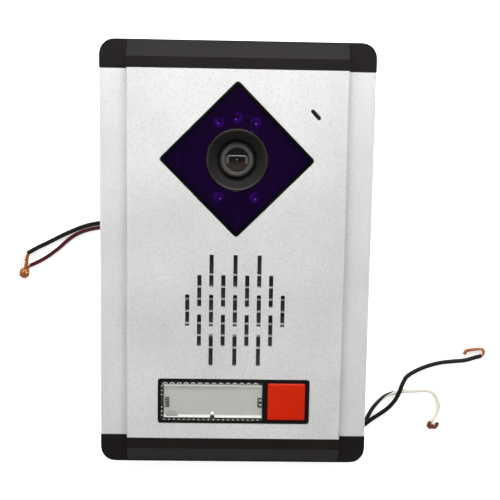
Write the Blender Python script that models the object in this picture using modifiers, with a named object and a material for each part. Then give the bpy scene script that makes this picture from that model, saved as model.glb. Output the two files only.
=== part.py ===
"""Outdoor station of a wired video door intercom.

The station lies on its back: +Z comes out of the front, +Y points to the top end, and the origin is
at the centre of the wall bracket's back face. Lengths are metres. An extruded housing with two
moulded end caps holds a camera behind a tinted window, a loudspeaker, a microphone and a call button.
"""

import math

import bmesh
import bpy
from mathutils import Matrix, Vector

# ---------------------------------------------------------------- driving dimensions
WIDTH = 0.120
LENGTH = 0.188
DEPTH = 0.0385                 # wall plane to the raised front panel
PANEL_WIDTH = 0.0955           # raised centre panel
SHOULDER_DROP = 0.0045         # raised panel down to the side strips
SIDE_WALL = 0.0020
FRONT_WALL = 0.0022
RIM_HEIGHT = 0.0040            # wall plane to the housing's rear rim
GAP = 0.0003                   # between pieces that touch
CAP_LENGTH = 0.0125
CAP_CORNER_RADIUS = 0.0065
CAP_BAND = 0.0049              # flat front band of a cap before its slope
CAP_END_WALL = 0.0032
CAP_TONGUE = 0.0055            # how far a cap's tongues reach into the housing
CAP_SEAT_DEPTH = 0.0027         # end face down to the seat of a cap screw

COVER_HEIGHT = 0.0100          # wall plane to the rear cover's outer face
COVER_THICKNESS = 0.0022
GASKET_THICKNESS = 0.0007
GASKET_WIDTH = 0.0030
RAIL_WIDTH = 0.0085
RAIL_THICKNESS = 0.0040
PORT_INSET = 0.0032            # cap screw port, from the inner faces of the corner
PORT_WALL = 0.0022
PORT_BORE_RADIUS = 0.0015

BOARD_THICKNESS = 0.0016
MAIN_BOARD_WIDTH = 0.092
MAIN_BOARD_LENGTH = 0.156
MAIN_BOARD_STANDOFF = 0.0027

WINDOW_OPENING = 0.0480        # side of the diamond opening
WINDOW_CORNER_RADIUS = 0.0014
WINDOW_FROM_TOP = 0.0510       # station's top end down to the middle of the window
WINDOW_THICKNESS = 0.0019
BEZEL_WIDTH = 0.0008
BEZEL_LEDGE = 0.0018           # how far the bezel's flange reaches in under the window
BEZEL_PROUD = 0.0003
FLANGE_OVERLAP = 0.0025        # what seats behind the front wall, each side
FLANGE_THICKNESS = 0.0016
SHROUD_RADIUS = 0.01335
LENS_RADIUS = 0.00735
LENS_GLASS_RADIUS = 0.0049
LENS_RECESS = 0.0051           # raised panel down to the lens barrel's rim
LED_RADIUS = 0.0025
LED_FLANGE = 0.0004            # a lamp's flange stands out this far
LED_SPACE = 0.0006             # between the shroud's foot and a lamp's flange
LED_SPREAD = math.radians(26)
IR_BOARD_SPACE = 0.0014        # between the infrared board and the carrier's wall
CARRIER_WALL = 0.0016
CARRIER_DEPTH = 0.0097
CARRIER_EYE_RADIUS = 0.0125
CAMERA_BOARD_SIDE = 0.034
CAMERA_BOARD_POST = 0.0045

GRILLE_BELOW_WINDOW = 0.0663   # between the middles of the window and the grille
SLOT_WIDTH = 0.00183
SLOT_LENGTH = 0.0143
SLOT_PITCH_X = 0.00526
SLOT_PITCH_Y = 0.01775
SLOTS_IN_COLUMN = (1, 2, 3, 2, 3, 2, 3, 2, 1)
SLOT_CORNER_RADIUS = 0.00028
RIB_COUNT = 7
RIB_PITCH = 0.00548
RIB_WIDTH = 0.0007
RIB_DROP = 0.0007              # middle of the grille down to the middle rib
INSERT_BORDER = 0.0025
INSERT_THICKNESS = 0.0013
MESH_THICKNESS = 0.0004
MESH_SIZE = (0.0505, 0.0535)   # width, height
MESH_CORNER_RADIUS = 0.0020
SPEAKER_RADIUS = 0.0250

MIC_FROM_MIDDLE = 0.0337
MIC_FROM_TOP = 0.0312
MIC_SLOT = (0.0058, 0.0018)    # length, width
MIC_SLOT_TILT = math.radians(-47)
MIC_CAPSULE_RADIUS = 0.0030
MIC_CAPSULE_LENGTH = 0.0043
MIC_BOOT_WALL = 0.0017

MODULE_OPENING = (0.0678, 0.0204)
MODULE_FROM_BOTTOM = 0.02965   # station's bottom end up to the middle of the module
MODULE_CORNER_RADIUS = 0.0012
MODULE_BORDER = 0.0013         # frame between its outside and the button's pocket
NAME_BORDER = 0.0007           # frame between its outside and the name window's pocket
MODULE_DIVIDER = 0.0014
MODULE_DEPTH = 0.0088
MODULE_FLANGE_OVERLAP = 0.0022
NAME_WINDOW_WIDTH = 0.0457
NAME_WINDOW_THICKNESS = 0.0012
NAME_CARD_THICKNESS = 0.0004
NAME_CORNER_RADIUS = 0.0004
LIGHT_GUIDE_THICKNESS = 0.0020

BUTTON_CLEARANCE = 0.0003
BUTTON_PROUD = 0.0005
BUTTON_TOP = 0.0018
BUTTON_WALL = 0.0015
BUTTON_HEIGHT = 0.0046
BUTTON_TRAVEL = 0.0012
SWITCH_SIDE = 0.0120
SWITCH_HEIGHT = 0.0037
PLUNGER_RADIUS = 0.0034
SPRING_RADIUS = 0.0044
SPRING_WIRE_RADIUS = 0.0003
SPRING_TURNS = 3

BRACKET_WIDTH = 0.072
BRACKET_LENGTH = 0.150
BRACKET_THICKNESS = 0.0015
BRACKET_CORNER_RADIUS = 0.003
CABLE_WINDOW = (0.040, 0.034)
FIXING_SLOT = (0.0042, 0.0085)
FIXING_SPACING = (0.056, 0.110)
HOOK_WIDTH = 0.016
HOOK_FROM_END = 0.0116

SCREW_HEAD_RADIUS = 0.0027
SCREW_HEAD_HEIGHT = 0.0018
SCREW_SHANK_RADIUS = 0.0013
SCREW_CLEARANCE_RADIUS = 0.0018
COVER_SCREW_FROM_WALL = 0.0032
COVER_SCREW_FROM_END = 0.0095
SECURITY_SCREW_BELOW_COVER = 0.0030

TERMINAL_BLOCK = (0.0114, 0.0100, 0.0065)   # across the poles, along the wires, height
TERMINAL_PITCH = 0.0050
TERMINAL_ENTRY_RADIUS = 0.0015
TERMINAL_ENTRY_DEPTH = 0.0060
TERMINAL_WELL = (0.0017, 0.0014)            # radius and depth of a clamp screw's well
LEFT_BLOCK_FACE = (-0.030, 0.0130)
RIGHT_BLOCK_FACE = (0.0385, -0.0660)

TRIMMER_CENTRE = (0.028, 0.046)
TRIMMER_SIDE = 0.0070
TRIMMER_ROTOR_RADIUS = 0.0023
TRIMMER_ROTOR_THICKNESS = 0.0012

WIRE_BLACK_RADIUS = 0.00105
WIRE_RED_RADIUS = 0.00095
WIRE_WHITE_RADIUS = 0.00100
STRAND_RADIUS = 0.0006

# ---------------------------------------------------------------- mates worked out from them
HALF_WIDTH = WIDTH / 2
HALF_LENGTH = LENGTH / 2
HALF_PANEL = PANEL_WIDTH / 2
SHOULDER = DEPTH - SHOULDER_DROP
PROFILE_HALF = HALF_LENGTH - CAP_LENGTH
WALL_INSIDE = HALF_WIDTH - SIDE_WALL
UNDER_FRONT = DEPTH - FRONT_WALL
UNDER_SHOULDER = SHOULDER - SIDE_WALL
WINDOW_CENTRE_Y = HALF_LENGTH - WINDOW_FROM_TOP
GRILLE_CENTRE_Y = WINDOW_CENTRE_Y - GRILLE_BELOW_WINDOW
MODULE_CENTRE_Y = MODULE_FROM_BOTTOM - HALF_LENGTH
MIC_CENTRE = (MIC_FROM_MIDDLE, HALF_LENGTH - MIC_FROM_TOP)
COVER_TOP = COVER_HEIGHT + COVER_THICKNESS
GASKET_BOTTOM = COVER_TOP + GAP
RAIL_BOTTOM = GASKET_BOTTOM + GASKET_THICKNESS + GAP
RAIL_TOP = RAIL_BOTTOM + RAIL_THICKNESS
PORT_X = WALL_INSIDE - PORT_INSET
PORT_Z = UNDER_SHOULDER - PORT_INSET
PORT_REACH = PORT_INSET + PORT_BORE_RADIUS + PORT_WALL
BOARD_BOTTOM = COVER_TOP + MAIN_BOARD_STANDOFF + GAP
BOARD_TOP = BOARD_BOTTOM + BOARD_THICKNESS
BRACKET_CLEAR = COVER_HEIGHT - GAP           # as high as a fold of the bracket may reach
HOOK_Y = BRACKET_LENGTH / 2 - HOOK_FROM_END
COVER_SCREW_X = WALL_INSIDE - COVER_SCREW_FROM_WALL
COVER_SCREW_Y = PROFILE_HALF - COVER_SCREW_FROM_END
SECURITY_SCREW_HEIGHT = COVER_HEIGHT - SECURITY_SCREW_BELOW_COVER

FLANGE_TOP = UNDER_FRONT - GAP
FLANGE_BOTTOM = FLANGE_TOP - FLANGE_THICKNESS
CARRIER_TOP = FLANGE_BOTTOM - GAP
CARRIER_BOTTOM = CARRIER_TOP - CARRIER_DEPTH
CARRIER_FLOOR = CARRIER_BOTTOM + CARRIER_WALL
IR_BOARD_BOTTOM = CARRIER_FLOOR + GAP
IR_BOARD_TOP = IR_BOARD_BOTTOM + BOARD_THICKNESS
LED_BOTTOM = IR_BOARD_TOP + GAP
LED_HEIGHT = FLANGE_BOTTOM - GAP - LED_BOTTOM
CAMERA_BOARD_TOP = CARRIER_BOTTOM - CAMERA_BOARD_POST - GAP
LENS_TOP = DEPTH - LENS_RECESS
SHROUD_FOOT_RADIUS = SHROUD_RADIUS + 0.00145
CARRIER_SIDE = WINDOW_OPENING + 2 * FLANGE_OVERLAP
IR_BOARD_RADIUS = CARRIER_SIDE / 2 - CARRIER_WALL - IR_BOARD_SPACE
LED_CIRCLE_RADIUS = SHROUD_FOOT_RADIUS + LED_SPACE + LED_FLANGE + LED_RADIUS

MODULE_TOP = DEPTH + BEZEL_PROUD
MODULE_BOTTOM = MODULE_TOP - MODULE_DEPTH
MODULE_SIZE = (MODULE_OPENING[0] - 2 * GAP, MODULE_OPENING[1] - 2 * GAP)
POCKET_HEIGHT = MODULE_SIZE[1] - 2 * MODULE_BORDER + GAP
POCKET_LEFT = -MODULE_SIZE[0] / 2 + MODULE_BORDER
NAME_POCKET = (NAME_WINDOW_WIDTH + MODULE_BORDER - NAME_BORDER, MODULE_SIZE[1] - 2 * NAME_BORDER)
NAME_POCKET_CENTRE = (NAME_BORDER - MODULE_SIZE[0] / 2 + NAME_POCKET[0] / 2, MODULE_CENTRE_Y)
BUTTON_POCKET_LEFT = POCKET_LEFT + NAME_WINDOW_WIDTH + MODULE_DIVIDER
BUTTON_POCKET_WIDTH = MODULE_SIZE[0] / 2 - MODULE_BORDER - BUTTON_POCKET_LEFT
BUTTON_X = BUTTON_POCKET_LEFT + BUTTON_POCKET_WIDTH / 2
BUTTON_SIZE = (BUTTON_POCKET_WIDTH - 2 * BUTTON_CLEARANCE, POCKET_HEIGHT - 2 * BUTTON_CLEARANCE)
BUTTON_TOP_Z = DEPTH + BUTTON_PROUD
BUTTON_BOTTOM_Z = BUTTON_TOP_Z - BUTTON_HEIGHT
BUTTON_INNER_Z = BUTTON_TOP_Z - BUTTON_TOP
CALL_BOARD_TOP = MODULE_BOTTOM - GAP
SWITCH_BOTTOM = CALL_BOARD_TOP + GAP
SWITCH_TOP = SWITCH_BOTTOM + SWITCH_HEIGHT
MODULE_FLOOR = BUTTON_BOTTOM_Z - 2 * BUTTON_TRAVEL

BLOCK_TOP = COVER_HEIGHT - GAP
ENTRY_Z = BLOCK_TOP - TERMINAL_BLOCK[2] / 2 - GAP

SMALL_STEPS = 12
ROUND_STEPS = 28

PARTS = "video_door_station"
CUTTERS = "cutters"


# ---------------------------------------------------------------- shape helpers
def clear_scene():
    """Remove the objects that a new scene opens with."""
    for obj in list(bpy.data.objects):
        bpy.data.objects.remove(obj, do_unlink=True)


def make_collection(name):
    """Return a new collection linked to the scene."""
    collection = bpy.data.collections.new(name)
    bpy.context.scene.collection.children.link(collection)
    return collection


def link(obj, place=(0, 0, 0), turn=(0, 0, 0)):
    """Place an object in the collection of parts."""
    obj.location = place
    obj.rotation_euler = turn
    bpy.data.collections[PARTS].objects.link(obj)
    return obj


def fillet(corners, steps=3):
    """Return a closed outline; each corner is (x, y) or (x, y, radius)."""
    outline = []
    count = len(corners)
    for index, corner in enumerate(corners):
        here = Vector(corner[:2])
        radius = corner[2] if len(corner) > 2 else 0.0
        if radius <= 0:
            outline.append(tuple(here))
            continue
        before = (Vector(corners[index - 1][:2]) - here).normalized()
        after = (Vector(corners[(index + 1) % count][:2]) - here).normalized()
        half = before.angle(after) / 2
        reach = radius / math.tan(half)
        centre = here + (before + after).normalized() * (radius / math.sin(half))
        start = here + before * reach - centre
        sweep = start.angle_signed(here + after * reach - centre)
        for step in range(steps + 1):
            angle = -sweep * step / steps
            spoke = Vector((start.x * math.cos(angle) - start.y * math.sin(angle),
                            start.x * math.sin(angle) + start.y * math.cos(angle)))
            outline.append(tuple(centre + spoke))
    return outline


def rectangle(width, height, centre=(0, 0), radius=0.0, turn=0.0):
    """Return a rectangle, with round corners where a radius is given."""
    corners = []
    for side_x, side_y in ((-1, -1), (1, -1), (1, 1), (-1, 1)):
        corner = Vector((side_x * width / 2, side_y * height / 2))
        corner.rotate(Matrix.Rotation(turn, 2))
        corners.append((centre[0] + corner.x, centre[1] + corner.y, radius))
    return fillet(corners)


def circle(radius, centre=(0, 0), steps=ROUND_STEPS):
    """Return a circle as an outline."""
    return [(centre[0] + radius * math.cos(2 * math.pi * step / steps),
             centre[1] + radius * math.sin(2 * math.pi * step / steps)) for step in range(steps)]


def slab(name, loops, thickness, place=(0, 0, 0), turn=(0, 0, 0)):
    """Extrude flat outlines, with holes where one lies in another, upwards from place."""
    curve = bpy.data.curves.new(name, "CURVE")
    curve.dimensions = "2D"
    curve.fill_mode = "BOTH"
    curve.extrude = thickness / 2
    for loop in loops:
        spline = curve.splines.new("POLY")
        spline.points.add(len(loop) - 1)
        for point, (x, y) in zip(spline.points, loop):
            point.co = (x, y, 0, 1)
        spline.use_cyclic_u = True
    blank = bpy.data.objects.new(name + "_outline", curve)
    bpy.context.scene.collection.objects.link(blank)
    evaluated = blank.evaluated_get(bpy.context.evaluated_depsgraph_get())
    mesh = bpy.data.meshes.new_from_object(evaluated)
    bpy.data.objects.remove(blank, do_unlink=True)
    bpy.data.curves.remove(curve)
    mesh.name = name
    mesh.transform(Matrix.Translation((0, 0, thickness / 2)))
    shell = bmesh.new()
    shell.from_mesh(mesh)
    bmesh.ops.remove_doubles(shell, verts=shell.verts, dist=1e-6)
    bmesh.ops.recalc_face_normals(shell, faces=shell.faces)
    shell.to_mesh(mesh)
    shell.free()
    return link(bpy.data.objects.new(name, mesh), place, turn)


ALONG_Y = (math.pi / 2, 0, 0)            # outline in XZ, thickness towards -Y
ALONG_X = (math.pi / 2, 0, math.pi / 2)  # outline in YZ, thickness towards +X


def box(name, low, high):
    """Return a box between two corners."""
    size = [b - a for a, b in zip(low, high)]
    mesh = bpy.data.meshes.new(name)
    cube = bmesh.new()
    bmesh.ops.create_cube(cube, size=1.0)
    bmesh.ops.scale(cube, vec=size, verts=cube.verts)
    cube.to_mesh(mesh)
    cube.free()
    return link(bpy.data.objects.new(name, mesh), [(a + b) / 2 for a, b in zip(low, high)])


def rod(name, radius, length, place, turn=(0, 0, 0), steps=16):
    """Return a cylinder that starts at place and runs along its own +Z."""
    mesh = bpy.data.meshes.new(name)
    drum = bmesh.new()
    bmesh.ops.create_cone(drum, cap_ends=True, segments=steps, radius1=radius, radius2=radius,
                          depth=length, matrix=Matrix.Translation((0, 0, length / 2)))
    drum.to_mesh(mesh)
    drum.free()
    return link(bpy.data.objects.new(name, mesh), place, turn)


def turned(name, profile, closed=False, steps=ROUND_STEPS, place=(0, 0, 0), turn=(0, 0, 0)):
    """Turn a profile of (radius, height) about Z; it runs down its outer side first."""
    mesh = bpy.data.meshes.new(name)
    lathe = bmesh.new()
    points = [lathe.verts.new((radius, 0, height)) for radius, height in profile]
    for first, second in zip(points, points[1:]):
        lathe.edges.new((first, second))
    if closed:
        lathe.edges.new((points[-1], points[0]))
    lathe.to_mesh(mesh)
    lathe.free()
    obj = link(bpy.data.objects.new(name, mesh), place, turn)
    screw = obj.modifiers.new("turn", "SCREW")
    screw.steps = steps
    screw.render_steps = steps
    screw.use_merge_vertices = True
    screw.merge_threshold = 0.00001
    screw.use_smooth_shade = True
    return obj


def as_cutter(obj):
    """Move a shape to the cutters, where it is drawn as a wire only."""
    bpy.data.collections[PARTS].objects.unlink(obj)
    bpy.data.collections[CUTTERS].objects.link(obj)
    obj.hide_render = True
    obj.display_type = "WIRE"
    return obj


def combine(obj, other, operation):
    """Cut or join obj with another shape."""
    modifier = obj.modifiers.new(operation.lower() + "_" + other.name, "BOOLEAN")
    modifier.operation = operation
    modifier.solver = "EXACT"
    modifier.object = as_cutter(other)
    return obj


def cut(obj, *others):
    """Take shapes away from obj."""
    for other in others:
        combine(obj, other, "DIFFERENCE")
    return obj


def join(obj, *others):
    """Join shapes to obj."""
    for other in others:
        combine(obj, other, "UNION")
    return obj


def finish(obj, colour, roughness, metallic=0.0, alpha=1.0):
    """Give an object its own material."""
    material = bpy.data.materials.new(obj.name)
    material.use_nodes = True
    shader = material.node_tree.nodes["Principled BSDF"]
    shader.inputs["Base Color"].default_value = (*colour, 1.0)
    shader.inputs["Roughness"].default_value = roughness
    shader.inputs["Metallic"].default_value = metallic
    shader.inputs["Alpha"].default_value = alpha
    obj.data.materials.clear()
    obj.data.materials.append(material)
    return obj


def axis_empty(name, place):
    """Return an empty that a moving piece hangs on."""
    empty = bpy.data.objects.new(name, None)
    empty.empty_display_size = 0.005
    return link(empty, place)


def hang_on(obj, empty):
    """Parent a piece to an empty and keep it where it is."""
    obj.parent = empty
    obj.location = Vector(obj.location) - Vector(empty.location)


def smooth_route(points, spacing):
    """Return points spaced along a smooth curve through the route's own points."""
    knots = [Vector(point) for point in points]
    knots = [2 * knots[0] - knots[1]] + knots + [2 * knots[-1] - knots[-2]]
    fine = []
    for before, start, end, after in zip(knots, knots[1:], knots[2:], knots[3:]):
        for step in range(12):
            t = step / 12
            fine.append(0.5 * (2 * start + (end - before) * t
                               + (2 * before - 5 * start + 4 * end - after) * t ** 2
                               + (3 * start - before - 3 * end + after) * t ** 3))
    fine.append(knots[-2])
    route = [fine[0]]
    travelled = 0.0
    for first, second in zip(fine, fine[1:]):
        travelled += (second - first).length
        if travelled >= spacing:
            route.append(second)
            travelled = 0.0
    if travelled < spacing / 2 and len(route) > 1:
        route.pop()
    route.append(fine[-1])
    return route


def tube(name, points, radius, detail=2):
    """Return a round tube along points, with closed ends."""
    curve = bpy.data.curves.new(name, "CURVE")
    curve.dimensions = "3D"
    curve.bevel_depth = radius
    curve.bevel_resolution = detail
    curve.use_fill_caps = True
    spline = curve.splines.new("POLY")
    spline.points.add(len(points) - 1)
    for point, place in zip(spline.points, points):
        point.co = (*place, 1)
    return link(bpy.data.objects.new(name, curve))


def screw_piece(name, place, turn, length, head_radius=SCREW_HEAD_RADIUS):
    """Return a screw whose head stands on place and whose shank runs along its own -Z."""
    recess = head_radius * 0.4
    profile = [(0, SCREW_HEAD_HEIGHT * 0.4), (recess, SCREW_HEAD_HEIGHT * 0.4),
               (recess, SCREW_HEAD_HEIGHT), (head_radius * 0.7, SCREW_HEAD_HEIGHT),
               (head_radius, SCREW_HEAD_HEIGHT * 0.5), (head_radius, 0), (SCREW_SHANK_RADIUS, 0),
               (SCREW_SHANK_RADIUS, -length + SCREW_SHANK_RADIUS), (0, -length)]
    screw = turned(name, profile, steps=SMALL_STEPS, place=place, turn=turn)
    return finish(screw, (0.55, 0.55, 0.56), 0.35, 1.0)


# ---------------------------------------------------------------- housing
def both_sides(corners):
    """Return corners and their mirror images, in reverse order, as one run."""
    mirrored = [(-corner[0], *corner[1:]) for corner in reversed(corners)]
    return corners + mirrored


def grille_slots():
    """Return the outlines of the loudspeaker slots."""
    slots = []
    middle = (len(SLOTS_IN_COLUMN) - 1) / 2
    for column, count in enumerate(SLOTS_IN_COLUMN):
        for row in range(count):
            centre = ((column - middle) * SLOT_PITCH_X,
                      GRILLE_CENTRE_Y + ((count - 1) / 2 - row) * SLOT_PITCH_Y)
            slots.append(rectangle(SLOT_WIDTH, SLOT_LENGTH, centre, SLOT_CORNER_RADIUS))
    return slots


def diamond(side, radius=WINDOW_CORNER_RADIUS, centre=(0, WINDOW_CENTRE_Y)):
    """Return a square that stands on its corner."""
    return rectangle(side, side, centre, radius, math.pi / 4)


def housing_profile():
    """Extruded front with raised panel, rails for the rear cover and ports for the cap screws."""
    outside = [(HALF_WIDTH, RIM_HEIGHT), (HALF_WIDTH, SHOULDER, 0.0009),
               (HALF_PANEL, SHOULDER, 0.0003), (HALF_PANEL, DEPTH, 0.0006)]
    inside = [(HALF_PANEL - SIDE_WALL, UNDER_FRONT), (HALF_PANEL - SIDE_WALL, UNDER_SHOULDER),
              (WALL_INSIDE - PORT_REACH, UNDER_SHOULDER),
              (WALL_INSIDE - PORT_REACH, UNDER_SHOULDER - PORT_REACH, 0.0030),
              (WALL_INSIDE, UNDER_SHOULDER - PORT_REACH), (WALL_INSIDE, RAIL_TOP),
              (WALL_INSIDE - RAIL_WIDTH, RAIL_TOP), (WALL_INSIDE - RAIL_WIDTH, RAIL_BOTTOM),
              (WALL_INSIDE, RAIL_BOTTOM), (WALL_INSIDE, RIM_HEIGHT)]
    outline = [*outside, *[(-corner[0], *corner[1:]) for corner in reversed(outside)],
               *[(-corner[0], *corner[1:]) for corner in reversed(inside)], *inside]
    loops = [fillet(outline)]
    for side in (-1, 1):
        loops.append(circle(PORT_BORE_RADIUS, (side * PORT_X, PORT_Z), SMALL_STEPS))
    profile = slab("housing_profile", loops, 2 * PROFILE_HALF, (0, PROFILE_HALF, 0), ALONG_Y)
    openings = [diamond(WINDOW_OPENING), *grille_slots(),
                rectangle(*MODULE_OPENING, (0, MODULE_CENTRE_Y), MODULE_CORNER_RADIUS)]
    mic = rectangle(*MIC_SLOT, MIC_CENTRE, MIC_SLOT[1] * 0.499, MIC_SLOT_TILT)
    front = slab("front_openings", [*openings, mic], 3 * FRONT_WALL, (0, 0, DEPTH - 2 * FRONT_WALL))
    holes = []
    for side_x in (-1, 1):
        for side_y in (-1, 1):
            centre = (side_x * COVER_SCREW_X, side_y * COVER_SCREW_Y)
            holes.append(circle(PORT_BORE_RADIUS, centre, SMALL_STEPS))
    rails = slab("rail_holes", holes, RAIL_THICKNESS + 2 * GAP, (0, 0, RAIL_BOTTOM - GAP))
    cut(profile, front, rails)
    return finish(profile, (0.62, 0.62, 0.63), 0.42, 0.85)


def end_cap(name, end):
    """Moulded cap that closes one end of the housing; end is +1 at the top and -1 at the bottom."""
    seam = PROFILE_HALF + GAP
    inner_end = HALF_LENGTH - CAP_END_WALL
    plan = fillet([(HALF_WIDTH, end * seam), (HALF_WIDTH, end * HALF_LENGTH, CAP_CORNER_RADIUS),
                   (-HALF_WIDTH, end * HALF_LENGTH, CAP_CORNER_RADIUS), (-HALF_WIDTH, end * seam)], 5)
    cap = slab(name, [plan], SHOULDER - RIM_HEIGHT, (0, 0, RIM_HEIGHT))
    ridge = end * (PROFILE_HALF + CAP_BAND)
    slope = fillet([(end * seam, UNDER_SHOULDER), (end * seam, DEPTH), (ridge, DEPTH),
                    (end * (HALF_LENGTH - GAP), SHOULDER - GAP / 2),
                    (end * (HALF_LENGTH - SIDE_WALL), UNDER_SHOULDER)])
    hump = slab(name + "_hump", [slope], PANEL_WIDTH, (-HALF_PANEL, 0, 0), ALONG_X)
    upper = both_sides([(WALL_INSIDE, COVER_TOP), (WALL_INSIDE, UNDER_SHOULDER - PORT_REACH),
                        (WALL_INSIDE - PORT_REACH, UNDER_SHOULDER - PORT_REACH),
                        (WALL_INSIDE - PORT_REACH, UNDER_SHOULDER)])
    lower = both_sides([(WALL_INSIDE, RIM_HEIGHT - SIDE_WALL), (WALL_INSIDE, COVER_HEIGHT)])
    depth = inner_end - seam + GAP
    start = inner_end if end > 0 else -(seam - GAP)
    cavity = slab(name + "_cavity", [fillet(upper), fillet(lower)], depth, (0, start, 0), ALONG_Y)
    drop = (DEPTH - SHOULDER) / (CAP_LENGTH - CAP_BAND)
    room = fillet([(end * (seam - GAP), UNDER_SHOULDER - GAP), (end * (seam - GAP), UNDER_FRONT),
                   (end * (PROFILE_HALF + CAP_BAND), UNDER_FRONT),
                   (end * inner_end, UNDER_FRONT - drop * (inner_end - PROFILE_HALF - CAP_BAND)),
                   (end * inner_end, UNDER_SHOULDER - GAP)])
    room_half = HALF_PANEL - SIDE_WALL
    hump_room = slab(name + "_hump_room", [room], 2 * room_half, (-room_half, 0, 0), ALONG_X)
    join(cap, hump)
    cut(cap, cavity, hump_room)
    for side in (-1, 1):
        reach = sorted((end * (PROFILE_HALF - CAP_TONGUE), end * (inner_end + GAP)))
        edges = sorted((side * (WALL_INSIDE - GAP), side * (WALL_INSIDE - GAP - SIDE_WALL)))
        label = name + ("_left" if side < 0 else "_right")
        tongue = box(label + "_tongue", (edges[0], reach[0], RAIL_TOP + 2 * GAP),
                     (edges[1], reach[1], UNDER_SHOULDER - PORT_REACH - 2 * GAP))
        toward_inside = (math.pi / 2 * end, 0, 0)
        bore = rod(label + "_bore", SCREW_CLEARANCE_RADIUS, CAP_LENGTH + GAP,
                   (side * PORT_X, end * (HALF_LENGTH + GAP), PORT_Z), toward_inside)
        seat = rod(label + "_seat", SCREW_HEAD_RADIUS + GAP, CAP_SEAT_DEPTH + GAP,
                   (side * PORT_X, end * (HALF_LENGTH + GAP), PORT_Z), toward_inside)
        join(cap, tongue)
        cut(cap, bore, seat)
    return finish(cap, (0.035, 0.028, 0.026), 0.48)


def top_end_cap():
    """Cap at the camera end."""
    return end_cap("top_end_cap", 1)


def bottom_end_cap():
    """Cap at the button end, with a hole for the security screw."""
    cap = end_cap("bottom_end_cap", -1)
    place = (0, -HALF_LENGTH - GAP, SECURITY_SCREW_HEIGHT)
    inwards = (-math.pi / 2, 0, 0)
    hole = rod("security_hole", SCREW_CLEARANCE_RADIUS, CAP_END_WALL + 3 * GAP, place, inwards)
    seat = rod("security_seat", SCREW_HEAD_RADIUS * 0.85 + GAP, SCREW_HEAD_HEIGHT + 2 * GAP, place, inwards)
    return cut(cap, hole, seat)


def cap_screws():
    """One screw at each side of each cap, into the ports of the housing."""
    seat = HALF_LENGTH - CAP_SEAT_DEPTH + GAP
    for end, end_name in ((1, "top"), (-1, "bottom")):
        for side, side_name in ((-1, "left"), (1, "right")):
            place = (side * PORT_X, end * seat, PORT_Z)
            screw_piece("cap_screw_%s_%s" % (end_name, side_name), place, (-math.pi / 2 * end, 0, 0), 0.018)


# ---------------------------------------------------------------- rear
def cover_screw_places():
    """Return the name and place of each rear cover screw."""
    places = []
    for side_y, end_name in ((1, "top"), (-1, "bottom")):
        for side_x, side_name in ((-1, "left"), (1, "right")):
            places.append(("cover_screw_%s_%s" % (end_name, side_name),
                           (side_x * COVER_SCREW_X, side_y * COVER_SCREW_Y)))
    return places


def hook_bar():
    """Return the bar on the rear cover that the bracket's hook goes over."""
    half = HOOK_WIDTH / 2 + 0.004
    leg = 0.002
    low = COVER_HEIGHT - 0.0046
    outline = [(-half, COVER_HEIGHT + GAP), (-half, low), (half, low), (half, COVER_HEIGHT + GAP),
               (half - leg, COVER_HEIGHT + GAP), (half - leg, low + BRACKET_THICKNESS),
               (-half + leg, low + BRACKET_THICKNESS), (-half + leg, COVER_HEIGHT + GAP)]
    start = HOOK_Y + BRACKET_THICKNESS + 2 * GAP
    return slab("hook_bar", [outline], 0.003, (0, start + 0.003, 0), ALONG_Y)


def rear_cover():
    """Flat cover with standoffs for the main board and a bar to hang on the bracket."""
    half = (WALL_INSIDE - GAP, PROFILE_HALF)
    loops = [rectangle(2 * half[0], 2 * half[1], radius=0.001)]
    for _, place in cover_screw_places():
        loops.append(circle(SCREW_CLEARANCE_RADIUS, place, SMALL_STEPS))
    loops.append(rectangle(TRIMMER_SIDE + 4 * GAP, TRIMMER_SIDE + 4 * GAP, TRIMMER_CENTRE))
    cover = slab("rear_cover", loops, COVER_THICKNESS, (0, 0, COVER_HEIGHT))
    posts = []
    for side_x in (-1, 1):
        for side_y in (-1, 1):
            centre = (side_x * (MAIN_BOARD_WIDTH / 2 - 0.006), side_y * (MAIN_BOARD_LENGTH / 2 - 0.008))
            posts.append(circle(0.003, centre, SMALL_STEPS))
    standoffs = slab("cover_standoffs", posts, MAIN_BOARD_STANDOFF + GAP, (0, 0, COVER_TOP - GAP))
    join(cover, standoffs, hook_bar())
    return finish(cover, (0.03, 0.03, 0.032), 0.5)


def rear_gasket():
    """Flat seal between the rear cover and the housing's rails."""
    outer = (2 * (WALL_INSIDE - RAIL_WIDTH) + 2 * GASKET_WIDTH, 2 * PROFILE_HALF - 0.004)
    inner = (outer[0] - 2 * GASKET_WIDTH + 4 * GAP, outer[1] - 2 * GASKET_WIDTH)
    loops = [rectangle(*outer, radius=0.003), rectangle(*inner, radius=0.001)]
    gasket = slab("rear_gasket", loops, GASKET_THICKNESS, (0, 0, GASKET_BOTTOM))
    return finish(gasket, (0.05, 0.05, 0.05), 0.8)


def cover_screws():
    """Four screws through the rear cover into the rails."""
    for name, (x, y) in cover_screw_places():
        screw_piece(name, (x, y, COVER_HEIGHT - GAP), (math.pi, 0, 0), 0.0085)


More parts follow.
